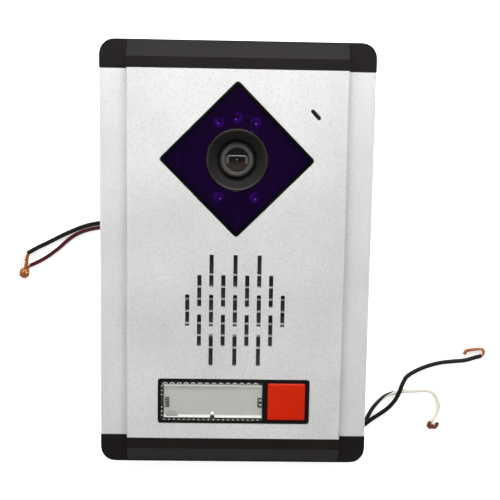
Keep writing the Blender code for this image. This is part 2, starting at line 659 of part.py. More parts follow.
def wall_bracket():
    """Folded steel bracket: base plate, four side folds, a hook and a tab for the security screw."""
    loops = [rectangle(BRACKET_WIDTH, BRACKET_LENGTH, radius=BRACKET_CORNER_RADIUS),
             rectangle(*CABLE_WINDOW, radius=BRACKET_CORNER_RADIUS),
             rectangle(HOOK_WIDTH + 0.001, 0.007, (0, HOOK_Y + BRACKET_THICKNESS + 0.0037), 0.0005)]
    for side_x in (-1, 1):
        for side_y in (-1, 1):
            centre = (side_x * FIXING_SPACING[0] / 2, side_y * FIXING_SPACING[1] / 2)
            loops.append(rectangle(*FIXING_SLOT, centre, FIXING_SLOT[0] * 0.4))
    bracket = slab("wall_bracket", loops, BRACKET_THICKNESS)
    root = BRACKET_THICKNESS - GAP
    lip = BRACKET_CLEAR - 2 * GAP
    hook_outline = [(HOOK_Y, root), (HOOK_Y + BRACKET_THICKNESS, root),
                    (HOOK_Y + BRACKET_THICKNESS, lip - BRACKET_THICKNESS),
                    (HOOK_Y + 0.0062, lip - BRACKET_THICKNESS), (HOOK_Y + 0.0062, lip), (HOOK_Y, lip)]
    join(bracket, slab("bracket_hook", [hook_outline], HOOK_WIDTH, (-HOOK_WIDTH / 2, 0, 0), ALONG_X))
    for side, side_name in ((-1, "left"), (1, "right")):
        outer = BRACKET_WIDTH / 2 - GAP
        edges = sorted((side * outer, side * (outer - BRACKET_THICKNESS)))
        for low, high, end_name in ((-0.050, -0.015, "lower"), (0.028, 0.056, "upper")):
            join(bracket, box("bracket_fold_%s_%s" % (end_name, side_name),
                              (edges[0], low, root), (edges[1], high, BRACKET_CLEAR)))
    end = GAP - BRACKET_LENGTH / 2
    tab = box("bracket_tab", (-0.016, end, root), (0.016, end + BRACKET_THICKNESS, BRACKET_CLEAR))
    hole = rod("tab_hole", SCREW_SHANK_RADIUS + GAP, 3 * BRACKET_THICKNESS,
               (0, end - BRACKET_THICKNESS, SECURITY_SCREW_HEIGHT), (-math.pi / 2, 0, 0))
    join(bracket, tab)
    cut(bracket, hole)
    return finish(bracket, (0.55, 0.56, 0.57), 0.4, 1.0)


def security_screw():
    """Long screw through the bottom cap into the bracket's tab."""
    head = -HALF_LENGTH + SCREW_HEAD_HEIGHT + 2 * GAP
    length = BRACKET_LENGTH / 2
    return screw_piece("security_screw", (0, head - GAP, SECURITY_SCREW_HEIGHT), (math.pi / 2, 0, 0),
                       HALF_LENGTH - length + 0.003, SCREW_HEAD_RADIUS * 0.85)


def main_board():
    """Circuit board on the rear cover's standoffs."""
    outline = rectangle(MAIN_BOARD_WIDTH, MAIN_BOARD_LENGTH, radius=0.001)
    board = slab("main_board", [outline], BOARD_THICKNESS, (0, 0, BOARD_BOTTOM))
    return finish(board, (0.02, 0.16, 0.06), 0.45)


def terminal_block(name, face, turn):
    """Two-pole screw terminal block; its wire entries are at face and turn is about Z."""
    across, along, height = TERMINAL_BLOCK
    outline = rectangle(along, across, (-along / 2, 0), 0.0004)
    bottom = BLOCK_TOP - height
    block = slab(name, [outline], height, (face[0], face[1], bottom), (0, 0, turn))
    for pole in (-1, 1):
        offset = Matrix.Rotation(turn, 3, "Z")
        mouth = offset @ Vector((GAP, pole * TERMINAL_PITCH / 2, ENTRY_Z))
        well = offset @ Vector((-along / 2, pole * TERMINAL_PITCH / 2, bottom - GAP))
        label = "%s_pole_%s" % (name, "a" if pole < 0 else "b")
        entry = rod(label + "_entry", TERMINAL_ENTRY_RADIUS, TERMINAL_ENTRY_DEPTH,
                    (face[0] + mouth.x, face[1] + mouth.y, ENTRY_Z), (0, -math.pi / 2, turn), SMALL_STEPS)
        screw_well = rod(label + "_well", *TERMINAL_WELL,
                         (face[0] + well.x, face[1] + well.y, bottom - GAP), steps=SMALL_STEPS)
        cut(block, entry, screw_well)
    return finish(block, (0.03, 0.20, 0.09), 0.45)


def volume_trimmer():
    """Trimmer on the main board, reached through the rear cover."""
    low = COVER_HEIGHT + 2 * GAP
    outline = rectangle(TRIMMER_SIDE, TRIMMER_SIDE, TRIMMER_CENTRE)
    trimmer = slab("volume_trimmer", [outline], BOARD_BOTTOM - GAP - low, (0, 0, low))
    recess = rod("trimmer_recess", TRIMMER_ROTOR_RADIUS + GAP, TRIMMER_ROTOR_THICKNESS + GAP,
                 (*TRIMMER_CENTRE, low - GAP))
    cut(trimmer, recess)
    return finish(trimmer, (0.05, 0.14, 0.42), 0.4)


def volume_trimmer_rotor():
    """Slotted rotor of the trimmer, on its own axis."""
    empty = axis_empty("trimmer_axis", (*TRIMMER_CENTRE, COVER_HEIGHT))
    rotor = rod("volume_trimmer_rotor", TRIMMER_ROTOR_RADIUS, TRIMMER_ROTOR_THICKNESS,
                (*TRIMMER_CENTRE, COVER_HEIGHT + GAP), steps=20)
    half = TRIMMER_ROTOR_RADIUS
    x, y = TRIMMER_CENTRE
    slot = box("rotor_slot", (x - half * 0.75, y - 0.0003, COVER_HEIGHT - GAP),
               (x + half * 0.75, y + 0.0003, COVER_HEIGHT + GAP + TRIMMER_ROTOR_THICKNESS / 2))
    cut(rotor, slot)
    hang_on(rotor, empty)
    return finish(rotor, (0.85, 0.85, 0.80), 0.4)


# ---------------------------------------------------------------- camera
def camera_bezel():
    """Black gasket frame in the diamond opening, with a flange behind the front wall."""
    outer = WINDOW_OPENING - 2 * GAP
    inner = outer - 2 * BEZEL_WIDTH
    bezel = slab("camera_bezel", [diamond(outer), diamond(inner)], DEPTH + BEZEL_PROUD - FLANGE_TOP + GAP,
                 (0, 0, FLANGE_TOP - GAP))
    flange = slab("bezel_flange", [diamond(CARRIER_SIDE), diamond(inner - 2 * BEZEL_LEDGE)],
                  FLANGE_THICKNESS, (0, 0, FLANGE_BOTTOM))
    join(bezel, flange)
    return finish(bezel, (0.012, 0.012, 0.013), 0.35)


def camera_window():
    """Tinted window with a round hole for the lens shroud."""
    side = WINDOW_OPENING - 2 * GAP - 2 * BEZEL_WIDTH - 2 * GAP
    loops = [diamond(side), circle(SHROUD_RADIUS + GAP, (0, WINDOW_CENTRE_Y))]
    window = slab("camera_window", loops, WINDOW_THICKNESS, (0, 0, FLANGE_TOP + GAP))
    return finish(window, (0.010, 0.003, 0.035), 0.06, 0.0, 0.6)


def lens_shroud():
    """Black cone round the lens; it stands on the infrared board."""
    top = DEPTH + GAP / 3
    foot = IR_BOARD_TOP + GAP
    inner = LENS_RADIUS + 0.00125
    throat = SHROUD_RADIUS - 0.00075
    profile = [(SHROUD_RADIUS - 0.0004, top), (SHROUD_RADIUS, top - 0.0003), (SHROUD_RADIUS, foot + 0.001),
               (SHROUD_FOOT_RADIUS, foot + 0.001), (SHROUD_FOOT_RADIUS, foot), (throat, foot),
               (throat, foot + 0.0012), (inner, foot + 0.0012), (inner, foot + 0.002),
               (SHROUD_RADIUS - 0.0010, top)]
    shroud = turned("lens_shroud", profile, closed=True, place=(0, WINDOW_CENTRE_Y, 0))
    return finish(shroud, (0.008, 0.008, 0.009), 0.5)


def lens_barrel():
    """Lens tube with a seat for the front glass."""
    low = CAMERA_BOARD_TOP + 0.0023
    seat = LENS_TOP - 0.0022
    profile = [(LENS_RADIUS - 0.0004, LENS_TOP), (LENS_RADIUS, LENS_TOP - 0.0003), (LENS_RADIUS, low),
               (LENS_GLASS_RADIUS - 0.0005, low), (LENS_GLASS_RADIUS - 0.0005, seat),
               (LENS_GLASS_RADIUS + GAP, seat), (LENS_GLASS_RADIUS + GAP, LENS_TOP)]
    barrel = turned("lens_barrel", profile, closed=True, place=(0, WINDOW_CENTRE_Y, 0))
    return finish(barrel, (0.02, 0.02, 0.022), 0.3, 0.2)


def lens_glass():
    """Domed front glass of the lens."""
    low = LENS_TOP - 0.0022 + GAP
    rim = LENS_TOP - 0.0011
    steps = 4
    profile = []
    for step in range(steps + 1):
        angle = math.pi / 2 * step / steps
        profile.append((LENS_GLASS_RADIUS * math.sin(angle), rim + 0.0015 * math.cos(angle)))
    profile += [(LENS_GLASS_RADIUS, low), (0, low)]
    glass = turned("lens_glass", profile, steps=24, place=(0, WINDOW_CENTRE_Y, 0))
    return finish(glass, (0.02, 0.03, 0.05), 0.02, 0.0, 0.7)


def lens_holder():
    """Threaded tube on the camera board that the lens barrel screws into."""
    bore = LENS_RADIUS + GAP
    low = CAMERA_BOARD_TOP + GAP
    centre = (0, WINDOW_CENTRE_Y)
    holder = slab("lens_holder", [rectangle(0.018, 0.018, centre, 0.001), circle(bore, centre)],
                  0.0026, (0, 0, low))
    collar = slab("holder_collar", [circle(bore + 0.0015, centre), circle(bore, centre)],
                  0.0076, (0, 0, low))
    join(holder, collar)
    return finish(holder, (0.02, 0.02, 0.02), 0.5)


def image_sensor():
    """Sensor chip under the lens, with a chamfered glass lid."""
    half = 0.0045
    outline = fillet([(x * half, WINDOW_CENTRE_Y + y * half, 0.0004)
                      for x, y in ((-1, -1), (1, -1), (1, 1), (-1, 1))], 1)
    sensor = slab("image_sensor", [outline], 0.001, (0, 0, CAMERA_BOARD_TOP + GAP))
    return finish(sensor, (0.03, 0.03, 0.05), 0.2)


def camera_board():
    """Circuit board of the camera."""
    outline = rectangle(CAMERA_BOARD_SIDE, CAMERA_BOARD_SIDE, (0, WINDOW_CENTRE_Y), 0.001)
    board = slab("camera_board", [outline], BOARD_THICKNESS, (0, 0, CAMERA_BOARD_TOP - BOARD_THICKNESS))
    return finish(board, (0.02, 0.16, 0.06), 0.45)


def camera_carrier():
    """Black tray behind the window; it holds the infrared board and the camera board."""
    carrier = slab("camera_carrier", [diamond(CARRIER_SIDE)], CARRIER_DEPTH, (0, 0, CARRIER_BOTTOM))
    room = slab("carrier_room", [diamond(CARRIER_SIDE - 2 * CARRIER_WALL)], CARRIER_DEPTH,
                (0, 0, CARRIER_FLOOR))
    eye = rod("carrier_eye", CARRIER_EYE_RADIUS, 2 * CARRIER_WALL,
              (0, WINDOW_CENTRE_Y, CARRIER_BOTTOM - GAP), steps=24)
    posts = []
    reach = CAMERA_BOARD_SIDE / 2 - 0.0035
    for side_x in (-1, 1):
        for side_y in (-1, 1):
            posts.append(circle(0.0022, (side_x * reach, WINDOW_CENTRE_Y + side_y * reach), SMALL_STEPS))
    legs = slab("carrier_posts", posts, CAMERA_BOARD_POST + GAP, (0, 0, CARRIER_BOTTOM - CAMERA_BOARD_POST))
    cut(carrier, room, eye)
    join(carrier, legs)
    return finish(carrier, (0.015, 0.015, 0.016), 0.55)


def ir_board():
    """Round board for the infrared lamps, with a hole for the lens."""
    centre = (0, WINDOW_CENTRE_Y)
    loops = [circle(IR_BOARD_RADIUS, centre, 36), circle(SHROUD_RADIUS - 0.00035, centre)]
    board = slab("ir_board", loops, BOARD_THICKNESS, (0, 0, IR_BOARD_BOTTOM))
    return finish(board, (0.02, 0.02, 0.025), 0.5)


def domed_lamp(name, radius, height, flange, place):
    """Return a lamp with a flange, a straight body and a round head."""
    profile = []
    steps = 4
    for step in range(steps + 1):
        angle = math.pi / 2 * step / steps
        profile.append((radius * math.sin(angle), height - radius * (1 - math.cos(angle))))
    profile += [(radius, flange), (radius + LED_FLANGE, flange), (radius + LED_FLANGE, 0), (0, 0)]
    return turned(name, profile, steps=16, place=place)


def ir_leds():
    """Five infrared lamps round the lens: three above it and two below."""
    quarter = math.pi / 2
    angles = (quarter + LED_SPREAD, quarter, quarter - LED_SPREAD,
              -quarter - LED_SPREAD, -quarter + LED_SPREAD)
    for number, angle in enumerate(angles, 1):
        place = (LED_CIRCLE_RADIUS * math.cos(angle),
                 WINDOW_CENTRE_Y + LED_CIRCLE_RADIUS * math.sin(angle), LED_BOTTOM)
        lamp = domed_lamp("ir_led_%d" % number, LED_RADIUS, LED_HEIGHT, 0.001, place)
        finish(lamp, (0.35, 0.25, 0.55), 0.15)


def light_sensor():
    """Small light sensor between two of the lamps."""
    place = (LED_CIRCLE_RADIUS * 0.24, WINDOW_CENTRE_Y + LED_CIRCLE_RADIUS * 1.03, LED_BOTTOM)
    return finish(domed_lamp("light_sensor", 0.0009, 0.005, 0.0006, place), (0.4, 0.3, 0.2), 0.3)


# ---------------------------------------------------------------- sound
def grille_insert():
    """Bright ribbed insert right behind the slots."""
    width = (len(SLOTS_IN_COLUMN) - 1) * SLOT_PITCH_X + 0.010
    height = (max(SLOTS_IN_COLUMN) - 1) * SLOT_PITCH_Y + SLOT_LENGTH + 0.0062
    centre = (0, GRILLE_CENTRE_Y)
    loops = [rectangle(width, height, centre, 0.002)]
    half = height / 2 - INSERT_BORDER
    middle_rib = GRILLE_CENTRE_Y - RIB_DROP
    ribs = [middle_rib + (index - RIB_COUNT // 2) * RIB_PITCH for index in range(RIB_COUNT)]
    lows = [GRILLE_CENTRE_Y - half] + [rib + RIB_WIDTH / 2 for rib in ribs]
    highs = [rib - RIB_WIDTH / 2 for rib in ribs] + [GRILLE_CENTRE_Y + half]
    for low, high in zip(lows, highs):
        loops.append(rectangle(width - 2 * INSERT_BORDER, high - low, (0, (low + high) / 2)))
    insert = slab("grille_insert", loops, INSERT_THICKNESS, (0, 0, FLANGE_TOP - INSERT_THICKNESS))
    return finish(insert, (0.60, 0.60, 0.60), 0.4, 0.3)


def speaker_mesh():
    """Fine dust cloth between the insert and the loudspeaker."""
    outline = rectangle(*MESH_SIZE, (0, GRILLE_CENTRE_Y), MESH_CORNER_RADIUS)
    top = FLANGE_TOP - INSERT_THICKNESS - GAP
    cloth = slab("speaker_mesh", [outline], MESH_THICKNESS, (0, 0, top - MESH_THICKNESS))
    return finish(cloth, (0.06, 0.06, 0.06), 0.8)


def speaker_place():
    """Return the point under the dust cloth where the loudspeaker's rim starts."""
    top = FLANGE_TOP - INSERT_THICKNESS - GAP - MESH_THICKNESS - GAP
    return (0, GRILLE_CENTRE_Y, top)


def speaker_frame():
    """Pressed basket of the loudspeaker."""
    rim = SPEAKER_RADIUS
    profile = [(rim, 0), (rim, -0.0013), (rim - 0.0023, -0.0013), (rim - 0.0122, -0.0092),
               (0.005, -0.0092), (0.005, -0.0083), (rim - 0.0127, -0.0083), (rim - 0.0031, -0.0008),
               (rim - 0.0031, 0)]
    frame = turned("speaker_frame", profile, closed=True, place=speaker_place())
    return finish(frame, (0.10, 0.10, 0.11), 0.4, 0.6)


def speaker_cone():
    """Paper cone with its dust cap."""
    rim = SPEAKER_RADIUS - 0.0041
    profile = [(0, -0.0037), (0.0035, -0.0043), (0.0064, -0.0060), (rim - 0.0005, -0.0004),
               (rim, -0.0004), (rim, -0.0010), (0.0066, -0.0067), (0, -0.0070)]
    cone = turned("speaker_cone", profile, place=speaker_place())
    return finish(cone, (0.04, 0.04, 0.04), 0.7)


def speaker_magnet():
    """Ring magnet and back plate of the loudspeaker as one drum with a vent."""
    radius = 0.0120
    profile = [(radius - 0.0004, -0.0095), (radius, -0.0099), (radius, -0.0143),
               (radius - 0.0004, -0.0147), (0.002, -0.0147), (0.002, -0.0095)]
    magnet = turned("speaker_magnet", profile, closed=True, steps=24, place=speaker_place())
    return finish(magnet, (0.12, 0.12, 0.12), 0.5, 0.7)


def speaker_lead():
    """Flexible lead from the loudspeaker down to the main board."""
    x, y, top = speaker_place()
    start = (x + 0.0215, y - 0.0128, top - 0.0060)
    route = [start, (start[0], start[1] - 0.002, start[2] - 0.0030),
             (start[0] + 0.001, start[1] - 0.006, start[2] - 0.0060),
             (start[0] + 0.001, start[1] - 0.007, BOARD_TOP + 3 * GAP)]
    lead = tube("speaker_lead", smooth_route(route, 0.0018), 0.0006, 1)
    return finish(lead, (0.5, 0.02, 0.02), 0.5)


def microphone_boot():
    """Rubber boot that holds the microphone capsule against the slot."""
    inner = MIC_CAPSULE_RADIUS + GAP
    outer = inner + MIC_BOOT_WALL
    depth = MIC_CAPSULE_LENGTH + 0.0017
    profile = [(outer, 0), (outer, -depth), (inner, -depth), (inner, -0.0012), (0.0010, -0.0012), (0.0010, 0)]
    boot = turned("microphone_boot", profile, closed=True, steps=20, place=(*MIC_CENTRE, FLANGE_TOP))
    return finish(boot, (0.02, 0.02, 0.02), 0.8)


def microphone_capsule():
    """Electret capsule in its boot."""
    top = FLANGE_TOP - 0.0012 - GAP
    profile = [(0, 0), (MIC_CAPSULE_RADIUS - 0.0003, 0), (MIC_CAPSULE_RADIUS, -0.0003),
               (MIC_CAPSULE_RADIUS, -MIC_CAPSULE_LENGTH), (0, -MIC_CAPSULE_LENGTH)]
    capsule = turned("microphone_capsule", profile, steps=20, place=(*MIC_CENTRE, top))
    return finish(capsule, (0.6, 0.6, 0.6), 0.3, 1.0)


# ---------------------------------------------------------------- call module
def call_module_frame():
    """Black frame with pockets for the name window and the call button."""
    centre = (0, MODULE_CENTRE_Y)
    frame = slab("call_module_frame", [rectangle(*MODULE_SIZE, centre, MODULE_CORNER_RADIUS - GAP)],
                 MODULE_DEPTH, (0, 0, MODULE_BOTTOM))
    flange = slab("module_flange", [rectangle(MODULE_SIZE[0] + 2 * MODULE_FLANGE_OVERLAP,
                                              MODULE_SIZE[1] + 2 * MODULE_FLANGE_OVERLAP, centre, 0.0015)],
                  FLANGE_THICKNESS, (0, 0, FLANGE_BOTTOM))
    name_pocket = slab("name_pocket", [rectangle(*NAME_POCKET, NAME_POCKET_CENTRE, NAME_CORNER_RADIUS)],
                       MODULE_DEPTH, (0, 0, name_floor()))
    button_pocket = slab("button_pocket", [rectangle(BUTTON_POCKET_WIDTH, POCKET_HEIGHT,
                                                     (BUTTON_X, MODULE_CENTRE_Y), 0.0006)],
                         MODULE_DEPTH, (0, 0, MODULE_FLOOR))
    switch_hole = slab("switch_hole", [rectangle(SWITCH_SIDE + 2 * GAP, SWITCH_SIDE + 2 * GAP,
                                                 (BUTTON_X, MODULE_CENTRE_Y))],
                       MODULE_DEPTH, (0, 0, MODULE_BOTTOM - GAP))
    join(frame, flange)
    cut(frame, name_pocket, button_pocket, switch_hole)
    return finish(frame, (0.02, 0.02, 0.021), 0.4)


def name_floor():
    """Return the height of the name pocket's floor."""
    return MODULE_TOP - 5 * GAP - NAME_WINDOW_THICKNESS - NAME_CARD_THICKNESS - LIGHT_GUIDE_THICKNESS


def name_layer(name, bottom, thickness, inset):
    """Return one of the flat pieces in the name pocket."""
    outline = rectangle(NAME_POCKET[0] - 2 * inset, NAME_POCKET[1] - 2 * inset,
                        NAME_POCKET_CENTRE, NAME_CORNER_RADIUS)
    return slab(name, [outline], thickness, (0, 0, bottom))


def name_window():
    """Clear cover of the name card."""
    top = MODULE_TOP - GAP
    window = name_layer("name_window", top - NAME_WINDOW_THICKNESS, NAME_WINDOW_THICKNESS, GAP)
    return finish(window, (0.82, 0.84, 0.85), 0.08, 0.0, 0.35)


def name_card():
    """Frosted card under the name window."""
    top = MODULE_TOP - 2 * GAP - NAME_WINDOW_THICKNESS
    card = name_layer("name_card", top - NAME_CARD_THICKNESS, NAME_CARD_THICKNESS, 2 * GAP)
    return finish(card, (0.55, 0.57, 0.58), 0.6)


def name_light_guide():
    """Light guide under the name card."""
    guide = name_layer("name_light_guide", name_floor() + GAP, LIGHT_GUIDE_THICKNESS, 2 * GAP)
    return finish(guide, (0.75, 0.78, 0.80), 0.3)


def call_board():
    """Circuit board under the call module."""
    outline = rectangle(MODULE_SIZE[0] - 0.001, MODULE_SIZE[1] - 0.001, (0, MODULE_CENTRE_Y), 0.001)
    board = slab("call_board", [outline], BOARD_THICKNESS, (0, 0, CALL_BOARD_TOP - BOARD_THICKNESS))
    return finish(board, (0.02, 0.16, 0.06), 0.45)


def call_button(empty):
    """Hollow button cap."""
    outline = rectangle(*BUTTON_SIZE, (BUTTON_X, MODULE_CENTRE_Y), 0.0008)
    button = slab("call_button", [outline], BUTTON_HEIGHT, (0, 0, BUTTON_BOTTOM_Z))
    room = rectangle(BUTTON_SIZE[0] - 2 * BUTTON_WALL, BUTTON_SIZE[1] - 2 * BUTTON_WALL,
                     (BUTTON_X, MODULE_CENTRE_Y))
    hollow = slab("button_room", [room], BUTTON_HEIGHT, (0, 0, BUTTON_INNER_Z - BUTTON_HEIGHT))
    bevel = button.modifiers.new("edges", "BEVEL")
    bevel.width = 0.0005
    bevel.segments = 1
    bevel.limit_method = "ANGLE"
    bevel.angle_limit = math.radians(60)
    cut(button, hollow)
    hang_on(button, empty)
    return finish(button, (0.62, 0.045, 0.008), 0.38)


def button_plunger(empty):
    """Pin between the button and the switch."""
    low = BUTTON_INNER_Z - GAP - 0.0045
    profile = [(0, 0.0045), (PLUNGER_RADIUS - 0.0003, 0.0045), (PLUNGER_RADIUS, 0.0042),
               (PLUNGER_RADIUS, 0), (0, 0)]
    plunger = turned("button_plunger", profile, steps=20, place=(BUTTON_X, MODULE_CENTRE_Y, low))
    hang_on(plunger, empty)
    return finish(plunger, (0.85, 0.85, 0.82), 0.4)


def button_switch():
    """Switch body with a well that the plunger sinks into."""
    outline = rectangle(SWITCH_SIDE, SWITCH_SIDE, (BUTTON_X, MODULE_CENTRE_Y), 0.0006)
    switch = slab("button_switch", [outline], SWITCH_HEIGHT, (0, 0, SWITCH_BOTTOM))
    floor = SWITCH_BOTTOM + 0.0009
    well = rod("switch_well", PLUNGER_RADIUS + GAP, SWITCH_HEIGHT, (BUTTON_X, MODULE_CENTRE_Y, floor),
               steps=20)
    cut(switch, well)
    return finish(switch, (0.03, 0.03, 0.03), 0.45)


def button_return_spring():
    """Coil spring round the plunger, between the switch and the button."""
    low = SWITCH_TOP + GAP + SPRING_WIRE_RADIUS
    high = BUTTON_INNER_Z - GAP - SPRING_WIRE_RADIUS
    per_turn = 12
    points = []
    for step in range(SPRING_TURNS * per_turn + 1):
        angle = 2 * math.pi * step / per_turn
        points.append((BUTTON_X + SPRING_RADIUS * math.cos(angle),
                       MODULE_CENTRE_Y + SPRING_RADIUS * math.sin(angle),
                       low + (high - low) * step / (SPRING_TURNS * per_turn)))
    spring = tube("button_return_spring", points, SPRING_WIRE_RADIUS, 1)
    return finish(spring, (0.6, 0.6, 0.62), 0.3, 1.0)


# ---------------------------------------------------------------- wires
INSIDE_ENTRY = 0.0030    # how far a wire's end reaches into its terminal


def left_pair():
    """Black and red wire from the left block, out under the left side, with their bare splice."""
    x, y = LEFT_BLOCK_FACE
    offset = TERMINAL_PITCH / 2
    black = [(x + INSIDE_ENTRY, y + offset, ENTRY_Z), (x - 0.004, y + offset, ENTRY_Z),
             (-0.0395, 0.0154, 0.0050), (-0.0460, 0.0146, 0.0033), (-0.0530, 0.0134, 0.0025),
             (-0.0600, 0.0122, 0.0022), (-0.0656, 0.0116, 0.0020), (-0.0706, 0.0106, 0.0013),
             (-0.0751, 0.0091, 0.0011), (-0.0798, 0.0071, 0.0011), (-0.0822, 0.0060, 0.0011),
             (-0.0844, 0.0049, 0.0011),
             (-0.0905, 0.0017, 0.0011), (-0.0952, -0.0006, 0.0011), (-0.1001, -0.0034, 0.0011)]
    red = [(x + INSIDE_ENTRY, y - offset, ENTRY_Z), (x - 0.004, y - offset, ENTRY_Z),
           (-0.0395, 0.0106, 0.0047), (-0.0460, 0.0105, 0.0026), (-0.0530, 0.0103, 0.0013),
           (-0.0600, 0.0100, 0.0010), (-0.0656, 0.0094, 0.0010), (-0.0706, 0.0084, 0.0010),
           (-0.0746, 0.0070, 0.0010), (-0.0782, 0.0051, 0.0010), (-0.0813, 0.0027, 0.0010),
           (-0.0845, -0.0002, 0.0010), (-0.0876, -0.0027, 0.0010), (-0.0906, -0.0049, 0.0010),
           (-0.0937, -0.0068, 0.0010), (-0.0962, -0.0081, 0.0010), (-0.0990, -0.0094, 0.0010)]
    finish(tube("wire_left_black", smooth_route(black, 0.0050), WIRE_BLACK_RADIUS), (0.01, 0.01, 0.01), 0.4)
    finish(tube("wire_left_red", smooth_route(red, 0.0050), WIRE_RED_RADIUS), (0.20, 0.005, 0.02), 0.4)
    splice = [(-0.1007, -0.0043, 0.0010), (-0.1011, -0.0065, 0.0008), (-0.1013, -0.0088, 0.0009),
              (-0.1018, -0.0112, 0.0016), (-0.1021, -0.0137, 0.0016)]
    splice_mesh = as_mesh(tube("wire_left_splice", smooth_route(splice, 0.0018), STRAND_RADIUS, 1))
    knob_profile = [(0, 0.0015), (0.0016, 0.0012), (0.0026, 0.0003), (0.0026, -0.0004),
                    (0.0016, -0.0013), (0, -0.0015)]
    knob = turned("splice_knob", knob_profile, steps=16, place=(-0.1021, -0.0136, 0.0016))
    join(splice_mesh, knob)
    finish(splice_mesh, (0.70, 0.36, 0.20), 0.35, 1.0)


def right_pair():
    """Black and white wire from the right block, out under the right side, with bare strands."""
    x, y = RIGHT_BLOCK_FACE
    offset = TERMINAL_PITCH / 2
    black = [(x - offset, y + INSIDE_ENTRY, ENTRY_Z), (x - offset, y - 0.004, ENTRY_Z),
             (0.0368, -0.0752, 0.0045), (0.0405, -0.0820, 0.0028), (0.0470, -0.0880, 0.0015),
             (0.0550, -0.0909, 0.0011), (0.0612, -0.0900, 0.0011), (0.0660, -0.0866, 0.0011),
             (0.0694, -0.0839, 0.0011), (0.0738, -0.0809, 0.0011), (0.0770, -0.0780, 0.0017),
             (0.0796, -0.0744, 0.0027), (0.0815, -0.0703, 0.0033), (0.0831, -0.0662, 0.0027),
             (0.0853, -0.0625, 0.0017), (0.0895, -0.0597, 0.0011), (0.0952, -0.0571, 0.0011),
             (0.1018, -0.0552, 0.0011), (0.1084, -0.0544, 0.0011), (0.1141, -0.0538, 0.0011),
             (0.1185, -0.0525, 0.0011), (0.1220, -0.0515, 0.0011)]
    white = [(x + offset, y + INSIDE_ENTRY, ENTRY_Z), (x + offset, y - 0.004, ENTRY_Z),
             (0.0418, -0.0735, 0.0048), (0.0447, -0.0795, 0.0037), (0.0500, -0.0845, 0.0029),
             (0.0568, -0.0872, 0.0026), (0.0620, -0.0867, 0.0026), (0.0657, -0.0840, 0.0026),
             (0.0675, -0.0809, 0.0022), (0.0696, -0.0777, 0.0017), (0.0727, -0.0745, 0.0012),
             (0.0757, -0.0722, 0.0010), (0.0797, -0.0707, 0.0010), (0.0846, -0.0698, 0.0010),
             (0.0899, -0.0695, 0.0010), (0.0948, -0.0692, 0.0010), (0.0980, -0.0699, 0.0010),
             (0.1003, -0.0723, 0.0010), (0.1018, -0.0760, 0.0010), (0.1015, -0.0801, 0.0010),
             (0.0998, -0.0834, 0.0010), (0.0986, -0.0852, 0.0010)]
    finish(tube("wire_right_black", smooth_route(black, 0.0050), WIRE_BLACK_RADIUS), (0.01, 0.01, 0.01), 0.4)
    finish(tube("wire_right_white", smooth_route(white, 0.0050), WIRE_WHITE_RADIUS), (0.72, 0.69, 0.60), 0.45)
    bent = [(0.1229, -0.0509, 0.0010), (0.1234, -0.0490, 0.0008), (0.1220, -0.0479, 0.0007),
            (0.1180, -0.0484, 0.0007), (0.1144, -0.0490, 0.0007), (0.1135, -0.0510, 0.0007)]
    hook = tube("strands_right_black", smooth_route(bent, 0.0016), STRAND_RADIUS, 1)
    finish(hook, (0.70, 0.36, 0.20), 0.35, 1.0)
    folded = [(0.0980, -0.0862, 0.0010), (0.0974, -0.0874, 0.0010), (0.0988, -0.0884, 0.0010),
              (0.1005, -0.0875, 0.0010), (0.1018, -0.0856, 0.0010)]
    knot = tube("strands_right_white", smooth_route(folded, 0.0016), STRAND_RADIUS * 1.5, 1)
    finish(knot, (0.70, 0.36, 0.20), 0.35, 1.0)


def as_mesh(obj):
    """Turn a curve object into a mesh object with welded ends."""
    bpy.context.view_layer.update()
    evaluated = obj.evaluated_get(bpy.context.evaluated_depsgraph_get())
    mesh = bpy.data.meshes.new_from_object(evaluated)
    name = obj.name
    world = obj.matrix_world.copy()
    bpy.data.objects.remove(obj, do_unlink=True)
    shell = bmesh.new()
    shell.from_mesh(mesh)
    bmesh.ops.remove_doubles(shell, verts=shell.verts, dist=1e-6)
    bmesh.ops.recalc_face_normals(shell, faces=shell.faces)
    shell.to_mesh(mesh)
    shell.free()
    solid = link(bpy.data.objects.new(name, mesh))
    solid.matrix_world = world
    return solid


def build():
    """Model the whole station."""
    clear_scene()
    make_collection(PARTS)
    make_collection(CUTTERS)
    housing_profile()
    top_end_cap()
    bottom_end_cap()
    cap_screws()
    rear_cover()
    rear_gasket()
    cover_screws()
    wall_bracket()
    security_screw()
    main_board()
    terminal_block("terminal_block_left", LEFT_BLOCK_FACE, math.pi)
    terminal_block("terminal_block_right", RIGHT_BLOCK_FACE, -math.pi / 2)
    volume_trimmer()
    volume_trimmer_rotor()
    camera_bezel()
    camera_window()
    lens_shroud()
    lens_barrel()
    lens_glass()
    lens_holder()
    image_sensor()
    camera_board()
    camera_carrier()
    ir_board()
    ir_leds()
    light_sensor()
    grille_insert()
    speaker_mesh()
    speaker_frame()
    speaker_cone()
    speaker_magnet()
    speaker_lead()
    microphone_boot()
    microphone_capsule()
    call_module_frame()
    name_window()
    name_card()
    name_light_guide()
    call_board()
    button_axis = axis_empty("button_axis", (BUTTON_X, MODULE_CENTRE_Y, BUTTON_TOP_Z))
    call_button(button_axis)
    button_plunger(button_axis)
    button_switch()
    button_return_spring()
    left_pair()
    right_pair()


build()
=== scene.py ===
"""Looks of the outdoor station of a wired video door intercom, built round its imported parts.

Lengths are metres in the parts' own frame: +Z comes out of the front and +Y points to the top end.
"""

